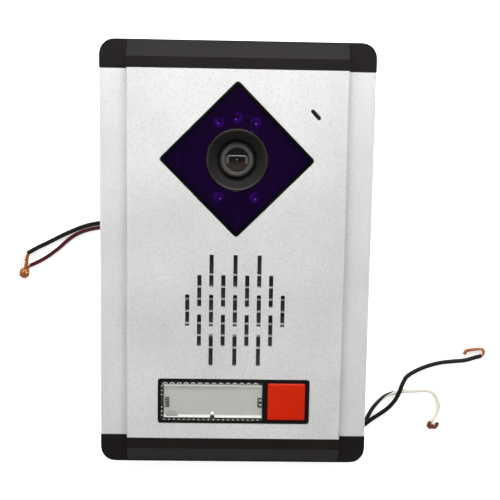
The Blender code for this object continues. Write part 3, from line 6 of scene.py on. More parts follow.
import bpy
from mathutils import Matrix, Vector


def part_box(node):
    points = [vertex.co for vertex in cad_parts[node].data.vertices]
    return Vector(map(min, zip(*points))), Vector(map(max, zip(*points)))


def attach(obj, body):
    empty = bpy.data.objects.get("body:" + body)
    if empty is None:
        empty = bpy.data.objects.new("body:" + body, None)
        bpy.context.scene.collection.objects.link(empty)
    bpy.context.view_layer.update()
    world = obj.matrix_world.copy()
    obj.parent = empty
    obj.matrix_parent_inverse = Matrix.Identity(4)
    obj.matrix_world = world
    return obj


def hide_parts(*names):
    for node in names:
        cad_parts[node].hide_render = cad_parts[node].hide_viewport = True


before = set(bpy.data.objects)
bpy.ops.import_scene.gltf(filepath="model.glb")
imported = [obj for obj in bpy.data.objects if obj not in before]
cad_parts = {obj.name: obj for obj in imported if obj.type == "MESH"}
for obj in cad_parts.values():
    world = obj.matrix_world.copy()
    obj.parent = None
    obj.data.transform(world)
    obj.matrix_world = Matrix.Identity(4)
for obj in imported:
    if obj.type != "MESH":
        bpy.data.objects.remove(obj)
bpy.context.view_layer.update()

import logging
import math
from contextlib import contextmanager
from dataclasses import dataclass, replace
from enum import Enum
from functools import lru_cache
from typing import Callable, Iterable, Iterator, Optional, Sequence

import bmesh
import bpy
from mathutils import Matrix, Vector

logging.basicConfig(level=logging.INFO, format="%(name)s: %(message)s")
LOG = logging.getLogger("door_station")

Colour = tuple[float, float, float]
Point = tuple[float, float, float]
Stops = Sequence[tuple[float, float]]
FaceTest = Callable[[Vector, Vector], bool]
STATION = "station"
GAP = 0.0003
WAVE_REPEAT = 0.314      # a Wave texture of scale 1 repeats after this many metres


# ---------------------------------------------------------------- bench work
def clear_bench() -> None:
    """Deselect every object, so that an operator acts only on what is picked next."""
    for obj in bpy.context.selected_objects:
        obj.select_set(False)


def take(obj: bpy.types.Object) -> None:
    """Pick one object alone and make it the active one."""
    clear_bench()
    obj.select_set(True)
    bpy.context.view_layer.objects.active = obj


@contextmanager
def editing(obj: bpy.types.Object) -> Iterator[None]:
    """Hold one object in edit mode.

    Args:
        obj: The object to edit.
    """
    take(obj)
    bpy.ops.object.mode_set(mode="EDIT")
    yield
    bpy.ops.object.mode_set(mode="OBJECT")


def choose_faces(obj: bpy.types.Object, test: FaceTest) -> None:
    """Select the faces that pass a test, in edit mode.

    Args:
        obj: The object in edit mode.
        test: Told a face's centre and its normal.
    """
    bpy.ops.mesh.select_mode(type="FACE")
    bpy.ops.mesh.select_all(action="DESELECT")
    mesh = bmesh.from_edit_mesh(obj.data)
    for face in mesh.faces:
        face.select_set(test(face.calc_center_median(), face.normal))
    bmesh.update_edit_mesh(obj.data)


def choose_edges(obj: bpy.types.Object, test: FaceTest) -> None:
    """Select the edges that pass a test, in edit mode.

    Args:
        obj: The object in edit mode.
        test: Told an edge's middle and its direction.
    """
    bpy.ops.mesh.select_mode(type="EDGE")
    bpy.ops.mesh.select_all(action="DESELECT")
    mesh = bmesh.from_edit_mesh(obj.data)
    for edge in mesh.edges:
        first, second = (vert.co for vert in edge.verts)
        edge.select_set(test((first + second) / 2, (second - first).normalized()))
    bmesh.update_edit_mesh(obj.data)


def settle(name: str) -> bpy.types.Object:
    """Name the object just added and move its place into its mesh.

    Args:
        name: The piece's name.

    Returns:
        The object, which now sits at the origin.
    """
    obj = bpy.context.object
    obj.name = name
    obj.data.name = name
    bpy.ops.object.transform_apply(location=True, rotation=True, scale=True)
    return obj


def block(name: str, low: Iterable[float], high: Iterable[float], turn: float = 0.0) -> bpy.types.Object:
    """Add a block between two corners, turned about its own upright axis.

    Args:
        name: The piece's name.
        low: Its lowest corner before the turn.
        high: Its highest corner before the turn.
        turn: Angle in radians.

    Returns:
        The block.
    """
    low, high = Vector(low), Vector(high)
    clear_bench()
    bpy.ops.mesh.primitive_cube_add(size=1.0, location=(low + high) / 2, rotation=(0, 0, turn),
                                    scale=high - low)
    return settle(name)


def drum(name: str, radius: float, low: float, high: float, centre: Sequence[float],
         sides: int = 64) -> bpy.types.Object:
    """Add an upright cylinder.

    Args:
        name: The piece's name.
        radius: Its radius.
        low: Height of its bottom.
        high: Height of its top.
        centre: Place of its axis.
        sides: Faces round it.

    Returns:
        The cylinder.
    """
    clear_bench()
    bpy.ops.mesh.primitive_cylinder_add(vertices=sides, radius=radius, depth=high - low,
                                        location=(centre[0], centre[1], (low + high) / 2))
    return settle(name)


def bevel_corners(obj: bpy.types.Object, radius: float, segments: int = 5) -> None:
    """Round a block's upright edges.

    Args:
        obj: The block.
        radius: Radius of the rounding.
        segments: Faces round each corner.
    """
    with editing(obj):
        choose_edges(obj, lambda middle, along: abs(along.z) > 0.9)
        bpy.ops.mesh.bevel(offset=radius, segments=segments, affect="EDGES")


def step_top(obj: bpy.types.Object, steps: Stops) -> None:
    """Inset and lift an object's top face, again and again.

    Args:
        obj: The object.
        steps: Pairs of inset and rise; a rise alone goes straight up or down.
    """
    top = max(vert.co.z for vert in obj.data.vertices)
    with editing(obj):
        choose_faces(obj, lambda centre, normal: normal.z > 0.9 and centre.z > top - 1e-5)
        for inset, rise in steps:
            if inset:
                bpy.ops.mesh.inset(thickness=inset, depth=rise)
            else:
                bpy.ops.mesh.extrude_region_move(TRANSFORM_OT_translate={"value": (0, 0, rise)})


def lathe(name: str, profile: Stops, centre: Sequence[float], sides: int = 96) -> bpy.types.Object:
    """Spin a profile about the upright axis through centre.

    Args:
        name: The piece's name.
        profile: Points of radius and height; a ring's profile ends where it starts.
        centre: Place of the axis.
        sides: Steps of the spin.

    Returns:
        The turned piece.
    """
    clear_bench()
    radius, height = profile[0]
    bpy.ops.mesh.primitive_plane_add(size=0.001, location=(centre[0] + radius, centre[1], height))
    obj = settle(name)
    with editing(obj):
        bpy.ops.mesh.select_mode(type="VERT")
        bpy.ops.mesh.select_all(action="SELECT")
        bpy.ops.mesh.merge(type="CENTER")
        for next_radius, next_height in profile[1:]:
            move = (next_radius - radius, 0, next_height - height)
            bpy.ops.mesh.extrude_region_move(TRANSFORM_OT_translate={"value": move})
            radius, height = next_radius, next_height
        bpy.ops.mesh.select_all(action="SELECT")
        bpy.ops.mesh.remove_doubles(threshold=1e-6)
        bpy.ops.mesh.select_all(action="SELECT")
        bpy.ops.mesh.spin(steps=sides, angle=2 * math.pi, center=(centre[0], centre[1], 0),
                          axis=(0, 0, 1))
        bpy.ops.mesh.select_all(action="SELECT")
        bpy.ops.mesh.remove_doubles(threshold=1e-6)
        bpy.ops.mesh.normals_make_consistent(inside=False)
    return smooth(obj, 32.0)


def smooth(obj: bpy.types.Object, angle: float) -> bpy.types.Object:
    """Shade an object smooth across edges flatter than an angle in degrees."""
    take(obj)
    bpy.ops.object.shade_smooth_by_angle(angle=math.radians(angle))
    return obj


def soften(obj: bpy.types.Object, width: float, segments: int = 2, angle: float = 40.0) -> bpy.types.Object:
    """Round an object's sharp edges.

    Args:
        obj: The object.
        width: Width of the rounding.
        segments: Faces across it.
        angle: Edges sharper than this many degrees are rounded.

    Returns:
        The same object.
    """
    take(obj)
    modifier = obj.modifiers.new("soft_edges", "BEVEL")
    modifier.width = width
    modifier.segments = segments
    modifier.limit_method = "ANGLE"
    modifier.angle_limit = math.radians(angle)
    bpy.ops.object.modifier_apply(modifier=modifier.name)
    smooth(obj, 50.0)
    modifier = obj.modifiers.new("flat_faces", "WEIGHTED_NORMAL")
    modifier.weight = 100
    modifier.keep_sharp = True
    bpy.ops.object.modifier_apply(modifier=modifier.name)
    return obj


def carve(obj: bpy.types.Object, *cutters: bpy.types.Object) -> bpy.types.Object:
    """Take shapes away from an object.

    Args:
        obj: The object.
        cutters: Shapes, which are used up.

    Returns:
        The same object.
    """
    for cutter in cutters:
        modifier = obj.modifiers.new("carve", "BOOLEAN")
        modifier.operation = "DIFFERENCE"
        modifier.object = cutter
        take(obj)
        bpy.ops.object.modifier_apply(modifier=modifier.name)
        bpy.data.objects.remove(cutter, do_unlink=True)
    return obj


def weld(name: str, *objects: bpy.types.Object) -> bpy.types.Object:
    """Join objects into one piece.

    Args:
        name: The piece's name.
        objects: What it is made of.

    Returns:
        The piece.
    """
    take(objects[0])
    for obj in objects[1:]:
        obj.select_set(True)
    bpy.ops.object.join()
    objects[0].name = name
    return objects[0]


def placed(pattern: bpy.types.Object, name: str, matrix: Matrix) -> bpy.types.Object:
    """Copy a pattern with its own mesh.

    Args:
        pattern: What is copied.
        name: The copy's name.
        matrix: Where the copy goes.

    Returns:
        The copy.
    """
    copy = bpy.data.objects.new(name, pattern.data.copy())
    bpy.context.scene.collection.objects.link(copy)
    copy.data.transform(matrix)
    return copy


def row_of(pattern: bpy.types.Object, name: str, places: Iterable[Matrix]) -> bpy.types.Object:
    """Copy a pattern to several places, use it up and join the copies.

    Args:
        pattern: What is copied.
        name: The piece's name.
        places: Where the copies go.

    Returns:
        One piece of all the copies.
    """
    copies = [placed(pattern, name, matrix) for matrix in places]
    bpy.data.objects.remove(pattern, do_unlink=True)
    return weld(name, *copies)


def refine(node: str, name: str, width: float, segments: int = 2, angle: float = 40.0) -> bpy.types.Object:
    """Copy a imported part, merge its facets into whole faces and round its edges.

    Args:
        node: The part.
        name: The copy's name.
        width: Width of the rounding.
        segments: Faces across it.
        angle: Edges sharper than this many degrees are rounded.

    Returns:
        The copy.
    """
    copy = placed(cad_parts[node], name, Matrix.Identity(4))
    with editing(copy):
        bpy.ops.mesh.select_all(action="SELECT")
        bpy.ops.mesh.customdata_custom_splitnormals_clear()
        bpy.ops.mesh.remove_doubles(threshold=1e-5)
        bpy.ops.mesh.dissolve_limited(angle_limit=math.radians(0.6))
    return soften(copy, width, segments, angle)


def tube(name: str, routes: Iterable[Sequence[Point]], radius: float, detail: int = 3) -> bpy.types.Object:
    """Make round wire along one or more routes.

    Args:
        name: The piece's name.
        routes: Points of each route.
        radius: The wire's radius.
        detail: Steps of its rounding.

    Returns:
        A curve object with closed ends.
    """
    curve = bpy.data.curves.new(name, "CURVE")
    curve.dimensions = "3D"
    curve.bevel_depth = radius
    curve.bevel_resolution = detail
    curve.use_fill_caps = True
    for route in routes:
        spline = curve.splines.new("POLY")
        spline.points.add(len(route) - 1)
        for point, place in zip(spline.points, route):
            point.co = (*place, 1)
        spline.use_smooth = True
    obj = bpy.data.objects.new(name, curve)
    bpy.context.scene.collection.objects.link(obj)
    return obj


def as_mesh(obj: bpy.types.Object) -> bpy.types.Object:
    """Turn a curve object into a mesh with welded ends."""
    take(obj)
    bpy.ops.object.convert(target="MESH")
    with editing(bpy.context.object):
        bpy.ops.mesh.select_all(action="SELECT")
        bpy.ops.mesh.remove_doubles(threshold=1e-7)
        bpy.ops.mesh.normals_make_consistent(inside=False)
    return bpy.context.object


def smooth_route(points: Sequence[Point], steps: int = 10) -> list[Vector]:
    """Lay a smooth curve through a route's own points.

    Args:
        points: The route's points.
        steps: Points read from the curve between two of them.

    Returns:
        Points along the curve.
    """
    knots = [Vector(point) for point in points]
    knots = [2 * knots[0] - knots[1]] + knots + [2 * knots[-1] - knots[-2]]
    fine = []
    for before, start, end, after in zip(knots, knots[1:], knots[2:], knots[3:]):
        for step in range(steps):
            t = step / steps
            fine.append(0.5 * (2 * start + (end - before) * t
                               + (2 * before - 5 * start + 4 * end - after) * t ** 2
                               + (3 * start - before - 3 * end + after) * t ** 3))
    fine.append(knots[-2])
    return fine


def route_length(points: Sequence[Vector]) -> float:
    """Return the length of a line through points."""
    return sum((second - first).length for first, second in zip(points, points[1:]))


def twisted(line: Sequence[Vector], count: int, spread: float, lay: float,
            loose: float = 0.0) -> list[list[Vector]]:
    """Wind strands round a line.

    Args:
        line: The line's points.
        count: Number of strands.
        spread: Distance of each strand from the line.
        lay: Length of one full turn.
        loose: How much further the strands stand apart at the line's end.

    Returns:
        The points of each strand.
    """
    strands = [[] for _ in range(count)]
    travelled = 0.0
    total = route_length(line)
    for index, place in enumerate(line):
        ahead = line[min(index + 1, len(line) - 1)] - line[max(index - 1, 0)]
        side = ahead.cross(Vector((0, 0, 1))).normalized()
        lift = side.cross(ahead).normalized()
        reach = spread + loose * (travelled / total) ** 2
        for strand in range(count):
            angle = 2 * math.pi * (strand / count + travelled / lay)
            strands[strand].append(place + reach * (side * math.cos(angle) + lift * math.sin(angle)))
        if index + 1 < len(line):
            travelled += (line[index + 1] - place).length
    return strands


# ---------------------------------------------------------------- finishes
class Recipe:
    """One material's shader nodes, added one after another."""

    def __init__(self, name: str) -> None:
        """Start a material with its Principled shader.

        Args:
            name: The material's name.
        """
        self.material = bpy.data.materials.new(name)
        self.material.use_nodes = True
        self.tree = self.material.node_tree
        self.shader = self.tree.nodes["Principled BSDF"]
        self.output = self.tree.nodes["Material Output"]
        self.place = self.add("ShaderNodeTexCoord").outputs["Object"]

    def add(self, kind: str, inputs: Optional[dict] = None, **settings: object) -> bpy.types.Node:
        """Add a node.

        Args:
            kind: The node's type.
            inputs: What its sockets are joined to or set at.
            settings: Its own settings.

        Returns:
            The node.
        """
        node = self.tree.nodes.new(kind)
        for key, value in settings.items():
            setattr(node, key, value)
        self.feed(node, inputs or {})
        return node

    def feed(self, node: bpy.types.Node, inputs: dict) -> None:
        """Join or set a node's sockets.

        Args:
            node: The node.
            inputs: A socket or a value for each of its inputs.
        """
        for key, value in inputs.items():
            if isinstance(value, bpy.types.NodeSocket):
                self.tree.links.new(value, node.inputs[key])
            elif isinstance(value, tuple) and len(value) == 3 and node.inputs[key].type == "RGBA":
                node.inputs[key].default_value = (*value, 1.0)
            else:
                node.inputs[key].default_value = value

    def noise(self, scale: float, detail: float = 4.0, stretch: Point = (1, 1, 1)) -> bpy.types.NodeSocket:
        """Return a noise of this scale, pulled out along the axes with a small stretch."""
        mapping = self.add("ShaderNodeMapping", {"Vector": self.place, "Scale": stretch})
        inputs = {"Vector": mapping.outputs[0], "Scale": scale, "Detail": detail}
        return self.add("ShaderNodeTexNoise", inputs).outputs["Fac"]

    def spread(self, value: bpy.types.NodeSocket, low: float, high: float, start: float = 0.3,
               end: float = 0.7) -> bpy.types.NodeSocket:
        """Map a value from between start and end to between low and high.

        Args:
            value: The value's socket.
            low: Result at start.
            high: Result at end.
            start: Where the range begins.
            end: Where the range ends.

        Returns:
            The mapped value's socket.
        """
        inputs = {"Value": value, "From Min": start, "From Max": end, "To Min": low, "To Max": high}
        return self.add("ShaderNodeMapRange", inputs).outputs[0]

    def blend(self, factor: bpy.types.NodeSocket, first: object, second: object) -> bpy.types.NodeSocket:
        """Blend two colours, each a colour or a socket, and return the socket."""
        node = self.add("ShaderNodeMix", data_type="RGBA")
        self.feed(node, {0: factor})
        for index, value in ((6, first), (7, second)):
            if isinstance(value, bpy.types.NodeSocket):
                self.tree.links.new(value, node.inputs[index])
            else:
                node.inputs[index].default_value = (*value, 1.0)
        return node.outputs[2]

    def sum(self, operation: str, first: object, second: object = 0.0) -> bpy.types.NodeSocket:
        """Return the result of a Math node."""
        return self.add("ShaderNodeMath", {0: first, 1: second}, operation=operation).outputs[0]

    def axis(self, name: str) -> bpy.types.NodeSocket:
        """Return one of the place's coordinates, X, Y or Z."""
        return self.add("ShaderNodeSeparateXYZ", {0: self.place}).outputs[name]

    def within(self, value: object, low: float, high: float, soft: float = 0.0001) -> bpy.types.NodeSocket:
        """Return 1 where a value lies between low and high and 0 elsewhere, with soft edges."""
        rise = self.spread(value, 0.0, 1.0, low - soft, low + soft)
        fall = self.spread(value, 1.0, 0.0, high - soft, high + soft)
        return self.sum("MULTIPLY", rise, fall)

    def relief(self, height: bpy.types.NodeSocket, strength: float, distance: float) -> None:
        """Bump the surface.

        Args:
            height: The relief's height.
            strength: Its share.
            distance: Its depth in metres.
        """
        bump = self.add("ShaderNodeBump", {"Height": height, "Strength": strength, "Distance": distance})
        self.feed(self.shader, {"Normal": bump.outputs[0]})

    def see_through(self, tint: Colour, body: float) -> None:
        """Let light through the surface.

        Args:
            tint: Colour of what passes.
            body: Share of the surface that is solid.
        """
        clear = self.add("ShaderNodeBsdfTransparent", {"Color": tint})
        mix = self.add("ShaderNodeMixShader", {0: body, 1: clear.outputs[0], 2: self.shader.outputs[0]})
        self.tree.links.new(mix.outputs[0], self.output.inputs["Surface"])


@dataclass(frozen=True)
class Finish:
    """A surface with clouded colour, uneven gloss and a fine grain."""

    slot: str
    colour: Colour
    patch: Colour
    gloss: tuple[float, float]
    metallic: float = 0.0
    grain: float = 1600.0
    depth: float = 0.00003
    strength: float = 0.25
    clouds: float = 45.0
    stretch: Point = (1, 1, 1)
    specular: float = 0.5
    coat: float = 0.0
    tint: Optional[Colour] = None
    body: float = 1.0
    glow: float = 0.0

    def make(self) -> bpy.types.Material:
        """Make the material.

        Returns:
            The finished material.
        """
        recipe = Recipe(self.slot)
        clouds = recipe.noise(self.clouds, 5.0, self.stretch)
        grain = recipe.noise(self.grain, 3.0, self.stretch)
        base = recipe.blend(recipe.spread(clouds, 0.0, 1.0), self.colour, self.patch)
        colour = self.paint(recipe, base)
        uneven = recipe.sum("ADD", recipe.sum("MULTIPLY", clouds, 0.6), recipe.sum("MULTIPLY", grain, 0.4))
        recipe.feed(recipe.shader, {"Base Color": colour, "Metallic": self.metallic,
                                    "Roughness": recipe.spread(uneven, *self.gloss),
                                    "Specular IOR Level": self.specular, "Coat Weight": self.coat})
        recipe.relief(self.surface(recipe, grain), self.strength, self.depth)
        if self.glow:
            recipe.feed(recipe.shader, {"Emission Color": self.colour, "Emission Strength": self.glow})
        if self.tint:
            recipe.see_through(self.tint, self.body)
        return recipe.material

    def paint(self, recipe: Recipe, base: bpy.types.NodeSocket) -> bpy.types.NodeSocket:
        """Return the colour, with any marks on it."""
        return base

    def surface(self, recipe: Recipe, grain: bpy.types.NodeSocket) -> bpy.types.NodeSocket:
        """Return the height of the relief."""
        return grain


@dataclass(frozen=True)
class Anodised(Finish):
    """Blasted and anodised aluminium, finely speckled, with a painted grey shadow line along the steps where
    its faces meet.
    """

    crease: float = 0.0

    def paint(self, recipe: Recipe, base: bpy.types.NodeSocket) -> bpy.types.NodeSocket:
        """Return the colour with its specks and the painted shadow lines at the steps."""
        specks = recipe.spread(recipe.noise(1700.0, 2.0), 0.0, 0.42, 0.46, 0.74)
        speckled = recipe.blend(specks, base, (0.36, 0.36, 0.35))
        # The grey line at |x| = crease is a painted shadow of the step between the raised centre and the side
        # strips.
        across = recipe.sum("ABSOLUTE", recipe.axis("X"))
        near = recipe.within(across, self.crease - 0.0001, self.crease + 0.0005, 0.00025)
        return recipe.blend(recipe.sum("MULTIPLY", near, 0.35), speckled, (0.22, 0.22, 0.22))


@dataclass(frozen=True)
class Woven(Finish):
    """Woven dust cloth."""

    pitch: float = 0.0006

    def surface(self, recipe: Recipe, grain: bpy.types.NodeSocket) -> bpy.types.NodeSocket:
        """Return the height of threads that cross."""
        inputs = {"Vector": recipe.place, "Scale": WAVE_REPEAT / self.pitch}
        waves = []
        for direction in ("X", "Y"):
            wave = recipe.add("ShaderNodeTexWave", inputs, bands_direction=direction)
            waves.append(wave.outputs["Fac"])
        return recipe.sum("MAXIMUM", *waves)

    def paint(self, recipe: Recipe, base: bpy.types.NodeSocket) -> bpy.types.NodeSocket:
        """Return bright threads with dark holes between them."""
        threads = self.surface(recipe, base)
        return recipe.blend(recipe.spread(threads, 0.0, 1.0, 0.45, 0.95), (0.004, 0.004, 0.004), base)


@dataclass(frozen=True)
class Board(Finish):
    """Circuit board: solder mask over tracks, with tinned pads."""

    def paint(self, recipe: Recipe, base: bpy.types.NodeSocket) -> bpy.types.NodeSocket:
        """Return the mask with tracks under it and pads on it."""
        cells = recipe.add("ShaderNodeTexVoronoi", {"Vector": recipe.place, "Scale": 320.0},
                           distance="MANHATTAN").outputs["Distance"]
        tracks = recipe.spread(recipe.sum("PINGPONG", cells, 0.16), 0.0, 1.0, 0.09, 0.11)
        masked = recipe.blend(recipe.sum("MULTIPLY", tracks, 0.5), base, self.patch)
        return recipe.blend(recipe.spread(cells, 1.0, 0.0, 0.05, 0.07), masked, (0.62, 0.60, 0.56))


@dataclass(frozen=True)
class DarkSided(Finish):
    """Wire insulation that is dark on its side facing a set direction: all round near the housing, narrowing
    to nothing further on.
    """

    dark_side: Colour = (0.004, 0.004, 0.005)
    side: Point = (-0.55, 0.80, 0.25)
    start: float = 0.066
    end: float = 0.0805

    def paint(self, recipe: Recipe, base: bpy.types.NodeSocket) -> bpy.types.NodeSocket:
        """Return the colour, dark on the side that faces the set direction."""
        normal = recipe.add("ShaderNodeNewGeometry").outputs["Normal"]
        facing = recipe.add("ShaderNodeVectorMath", {0: normal, 1: self.side}, operation="DOT_PRODUCT")
        limit = recipe.spread(recipe.axis("X"), -1.05, 1.1, self.start, self.end)
        above = recipe.sum("SUBTRACT", facing.outputs["Value"], limit)
        return recipe.blend(recipe.spread(above, 0.0, 1.0, -0.06, 0.06), base, self.dark_side)


@dataclass(frozen=True)
class Coated(Finish):
    """Lens glass whose lower half shows a brown tinge."""

    tinge: Colour = (0.034, 0.024, 0.020)
    line: float = 0.0
    reach: float = 0.0034

    def paint(self, recipe: Recipe, base: bpy.types.NodeSocket) -> bpy.types.NodeSocket:
        """Return the colour with the tinge under the line."""
        below = recipe.spread(recipe.axis("Y"), 1.0, 0.0, self.line - self.reach, self.line)
        return recipe.blend(below, base, self.tinge)


@dataclass(frozen=True)
class Marked(Finish):
    """Frosted card with a light band along its top and a brighter one along its bottom."""

    edges: tuple[float, float] = (0.0, 0.0)

    def paint(self, recipe: Recipe, base: bpy.types.NodeSocket) -> bpy.types.NodeSocket:
        """Return the colour with its two bands."""
        low, high = self.edges
        top = recipe.within(recipe.axis("Y"), high - 0.0009, high + 0.001)
        bottom = recipe.within(recipe.axis("Y"), low - 0.001, low + 0.0018, 0.0004)
        banded = recipe.blend(top, base, (0.80, 0.79, 0.70))
        return recipe.blend(bottom, banded, (0.95, 0.95, 0.92))


@lru_cache(maxsize=None)
def material_of(finish: Finish) -> bpy.types.Material:
    """Return a finish's one material."""
    return finish.make()


# crease is where the painted shadow line of the front's step lies.
ANODISED = Anodised("anodised_aluminium", (0.60, 0.60, 0.595), (0.66, 0.66, 0.65), (0.46, 0.58), 0.55,
                    2400.0, 0.00004, 0.22, 30.0, crease=0.04775)
CAP_PLASTIC = Finish("cap_plastic", (0.0040, 0.0028, 0.0021), (0.0054, 0.0038, 0.0029), (0.40, 0.56),
                     grain=2000.0, strength=0.2, specular=0.16)
ZINC = Finish("zinc_screw", (0.42, 0.42, 0.41), (0.30, 0.29, 0.27), (0.22, 0.42), 1.0, clouds=400.0)
REAR_PLASTIC = Finish("rear_plastic", (0.016, 0.016, 0.017), (0.028, 0.027, 0.027), (0.42, 0.62),
                      grain=1300.0, depth=0.00006)
RUBBER = Finish("gasket_rubber", (0.020, 0.020, 0.020), (0.034, 0.033, 0.032), (0.70, 0.88), grain=1100.0)
STEEL = Finish("bracket_steel", (0.45, 0.46, 0.47), (0.33, 0.34, 0.36), (0.26, 0.46), 1.0, 1800.0,
               stretch=(1, 0.04, 1), clouds=120.0)
GREEN_BOARD = Board("circuit_board", (0.010, 0.085, 0.030), (0.030, 0.160, 0.060), (0.22, 0.40), coat=0.4)
DARK_BOARD = Board("black_board", (0.010, 0.010, 0.014), (0.035, 0.035, 0.045), (0.25, 0.45), coat=0.3)
TERMINAL_GREEN = Finish("terminal_plastic", (0.012, 0.115, 0.045), (0.020, 0.150, 0.065), (0.32, 0.50))
TRIMMER_BLUE = Finish("trimmer_blue", (0.015, 0.060, 0.300), (0.022, 0.080, 0.360), (0.30, 0.46))
ROTOR_WHITE = Finish("rotor_white", (0.70, 0.70, 0.66), (0.62, 0.62, 0.57), (0.32, 0.50))
BEZEL_BLACK = Finish("black_gasket", (0.0014, 0.0014, 0.0016), (0.0022, 0.0022, 0.0025), (0.36, 0.50),
                     specular=0.06)
TINTED = Finish("tinted_window", (0.0085, 0.0012, 0.0230), (0.0110, 0.0016, 0.0280), (0.03, 0.08),
                grain=300.0, strength=0.02, tint=(0.62, 0.26, 0.80), body=0.40)
LENS_BLACK = Finish("lens_black", (0.0050, 0.0047, 0.0045), (0.0085, 0.0079, 0.0074), (0.34, 0.48),
                    grain=2600.0, specular=0.25)
BARREL_GREY = Finish("lens_black", (0.036, 0.034, 0.033), (0.046, 0.044, 0.042), (0.46, 0.60),
                     grain=3000.0, specular=0.25)
# The shroud is black plastic, painted lighter and browner than lens_black as painted sheen from the lamps.
SHROUD_LIT_BLACK = Finish("lens_black", (0.0100, 0.0088, 0.0080), (0.0150, 0.0126, 0.0112), (0.36, 0.50),
                      grain=2600.0, specular=0.20)
# Light grey painted on black moulding: painted highlights where the carrier's ribs and the shroud's foot
# catch light.
HIGHLIGHT_GREY = Finish("lens_black", (0.120, 0.085, 0.120), (0.150, 0.110, 0.150), (0.40, 0.55), specular=0.3)
LENS_GLASS = Coated("lens_glass", (0.0040, 0.0034, 0.0036), (0.0070, 0.0058, 0.0060), (0.02, 0.05),
                    grain=200.0, strength=0.01, clouds=260.0)
SENSOR = Finish("sensor_glass", (0.015, 0.015, 0.040), (0.030, 0.020, 0.060), (0.08, 0.16))
LAMP_CLEAR = Finish("lamp_clear", (0.26, 0.18, 0.34), (0.34, 0.25, 0.44), (0.05, 0.12), grain=500.0,
                    strength=0.04, tint=(0.85, 0.80, 1.0), body=0.35)
# The lamps' cups and chips glow only as painted glints and reflections: infrared lamps show no visible light.
CUP_GLINT = Finish("lamp_clear", (0.30, 0.16, 0.75), (0.36, 0.22, 0.82), (0.20, 0.35), glow=0.9)
CHIP_GLINT = Finish("lamp_clear", (0.85, 0.86, 1.0), (0.95, 0.92, 1.0), (0.20, 0.35), glow=2.6)
SENSOR_RESIN = Finish("sensor_resin", (0.42, 0.22, 0.20), (0.50, 0.30, 0.28), (0.15, 0.28))
SILVER = Finish("insert_silver", (0.62, 0.62, 0.61), (0.72, 0.72, 0.71), (0.30, 0.44), 0.35, grain=2200.0)
CLOTH = Woven("dust_cloth", (0.080, 0.080, 0.079), (0.130, 0.130, 0.128), (0.65, 0.85), depth=0.00015,
              strength=0.8)
SPEAKER_STEEL = Finish("speaker_steel", (0.085, 0.085, 0.090), (0.13, 0.13, 0.135), (0.30, 0.50), 0.8)
PAPER = Finish("cone_paper", (0.018, 0.018, 0.019), (0.030, 0.029, 0.028), (0.75, 0.95), grain=900.0,
               depth=0.0001)
MODULE_BLACK = Finish("module_black", (0.0026, 0.0024, 0.0026), (0.0040, 0.0038, 0.0040), (0.34, 0.50),
                      grain=2200.0, specular=0.12)
CLEAR_COVER = Finish("clear_cover", (0.70, 0.70, 0.68), (0.76, 0.76, 0.74), (0.05, 0.12), grain=240.0,
                     strength=0.03, specular=0.3, tint=(0.97, 0.975, 0.965), body=0.03)
BEAD_CLEAR = Finish("clear_cover", (0.48, 0.48, 0.46), (0.60, 0.60, 0.57), (0.10, 0.20),
                    tint=(0.9, 0.9, 0.9), body=0.70)
# A painted highlight: a white spot that glows a little, above the catch.
CATCH_HIGHLIGHT = Finish("clear_cover", (0.90, 0.90, 0.88), (0.95, 0.95, 0.94), (0.12, 0.20), glow=0.15)
GATE_GREY = Finish("frosted_card", (0.27, 0.28, 0.28), (0.31, 0.31, 0.32), (0.40, 0.55), specular=0.3)
GUIDE = Finish("light_guide", (0.66, 0.68, 0.69), (0.74, 0.76, 0.76), (0.20, 0.34))
ORANGE = Finish("orange_button", (0.41, 0.0105, 0.0002), (0.45, 0.0135, 0.0003), (0.34, 0.48),
                grain=2000.0, specular=0.12)
SPRING = Finish("spring_steel", (0.50, 0.50, 0.51), (0.36, 0.36, 0.37), (0.22, 0.36), 1.0)
BLACK_PVC = Finish("black_insulation", (0.0024, 0.0026, 0.0030), (0.0044, 0.0048, 0.0056), (0.30, 0.46),
                   specular=0.14)
RED_PVC = Finish("red_insulation", (0.042, 0.0012, 0.0065), (0.064, 0.0022, 0.0100), (0.30, 0.46),
                 specular=0.16)
WHITE_PVC = DarkSided("white_insulation", (0.62, 0.59, 0.49), (0.70, 0.67, 0.57), (0.36, 0.50), specular=0.3)
COPPER = Finish("bare_copper", (0.52, 0.21, 0.085), (0.20, 0.065, 0.030), (0.22, 0.40), 1.0, clouds=1500.0)
DARK_COPPER = Finish("bare_copper", (0.26, 0.095, 0.055), (0.09, 0.032, 0.022), (0.26, 0.44), 1.0,
                     clouds=1500.0)
TINNED = Finish("bare_copper", (0.66, 0.62, 0.58), (0.50, 0.42, 0.36), (0.18, 0.30), 1.0, clouds=900.0)


def fit(obj: bpy.types.Object, finish: Finish, *nodes: str, body: str = STATION) -> bpy.types.Object:
    """Dress a new piece and fix it to a body.

    Args:
        obj: The piece.
        finish: Its finish.
        nodes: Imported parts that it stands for.
        body: The body it moves with.

    Returns:
        The piece.
    """
    obj.data.materials.clear()
    obj.data.materials.append(material_of(finish))
    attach(obj, body)
    if nodes:
        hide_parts(*nodes)
    LOG.info("%s in %s on %s", obj.name, finish.slot, body)
    return obj


def dress(node: str, finish: Finish) -> None:
    """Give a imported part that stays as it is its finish.

    Args:
        node: The part.
        finish: Its finish.
    """
    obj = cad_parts[node]
    obj.data.materials.clear()
    obj.data.materials.append(material_of(finish))
    LOG.info("%s keeps its shape, in %s", node, finish.slot)


def span(node: str) -> tuple[Vector, Vector, Vector]:
    """Return the lowest corner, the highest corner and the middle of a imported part's box."""
    low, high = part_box(node)
    return low, high, (low + high) / 2


def middle(node: str) -> Vector:
    """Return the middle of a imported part's box."""
    return span(node)[2]


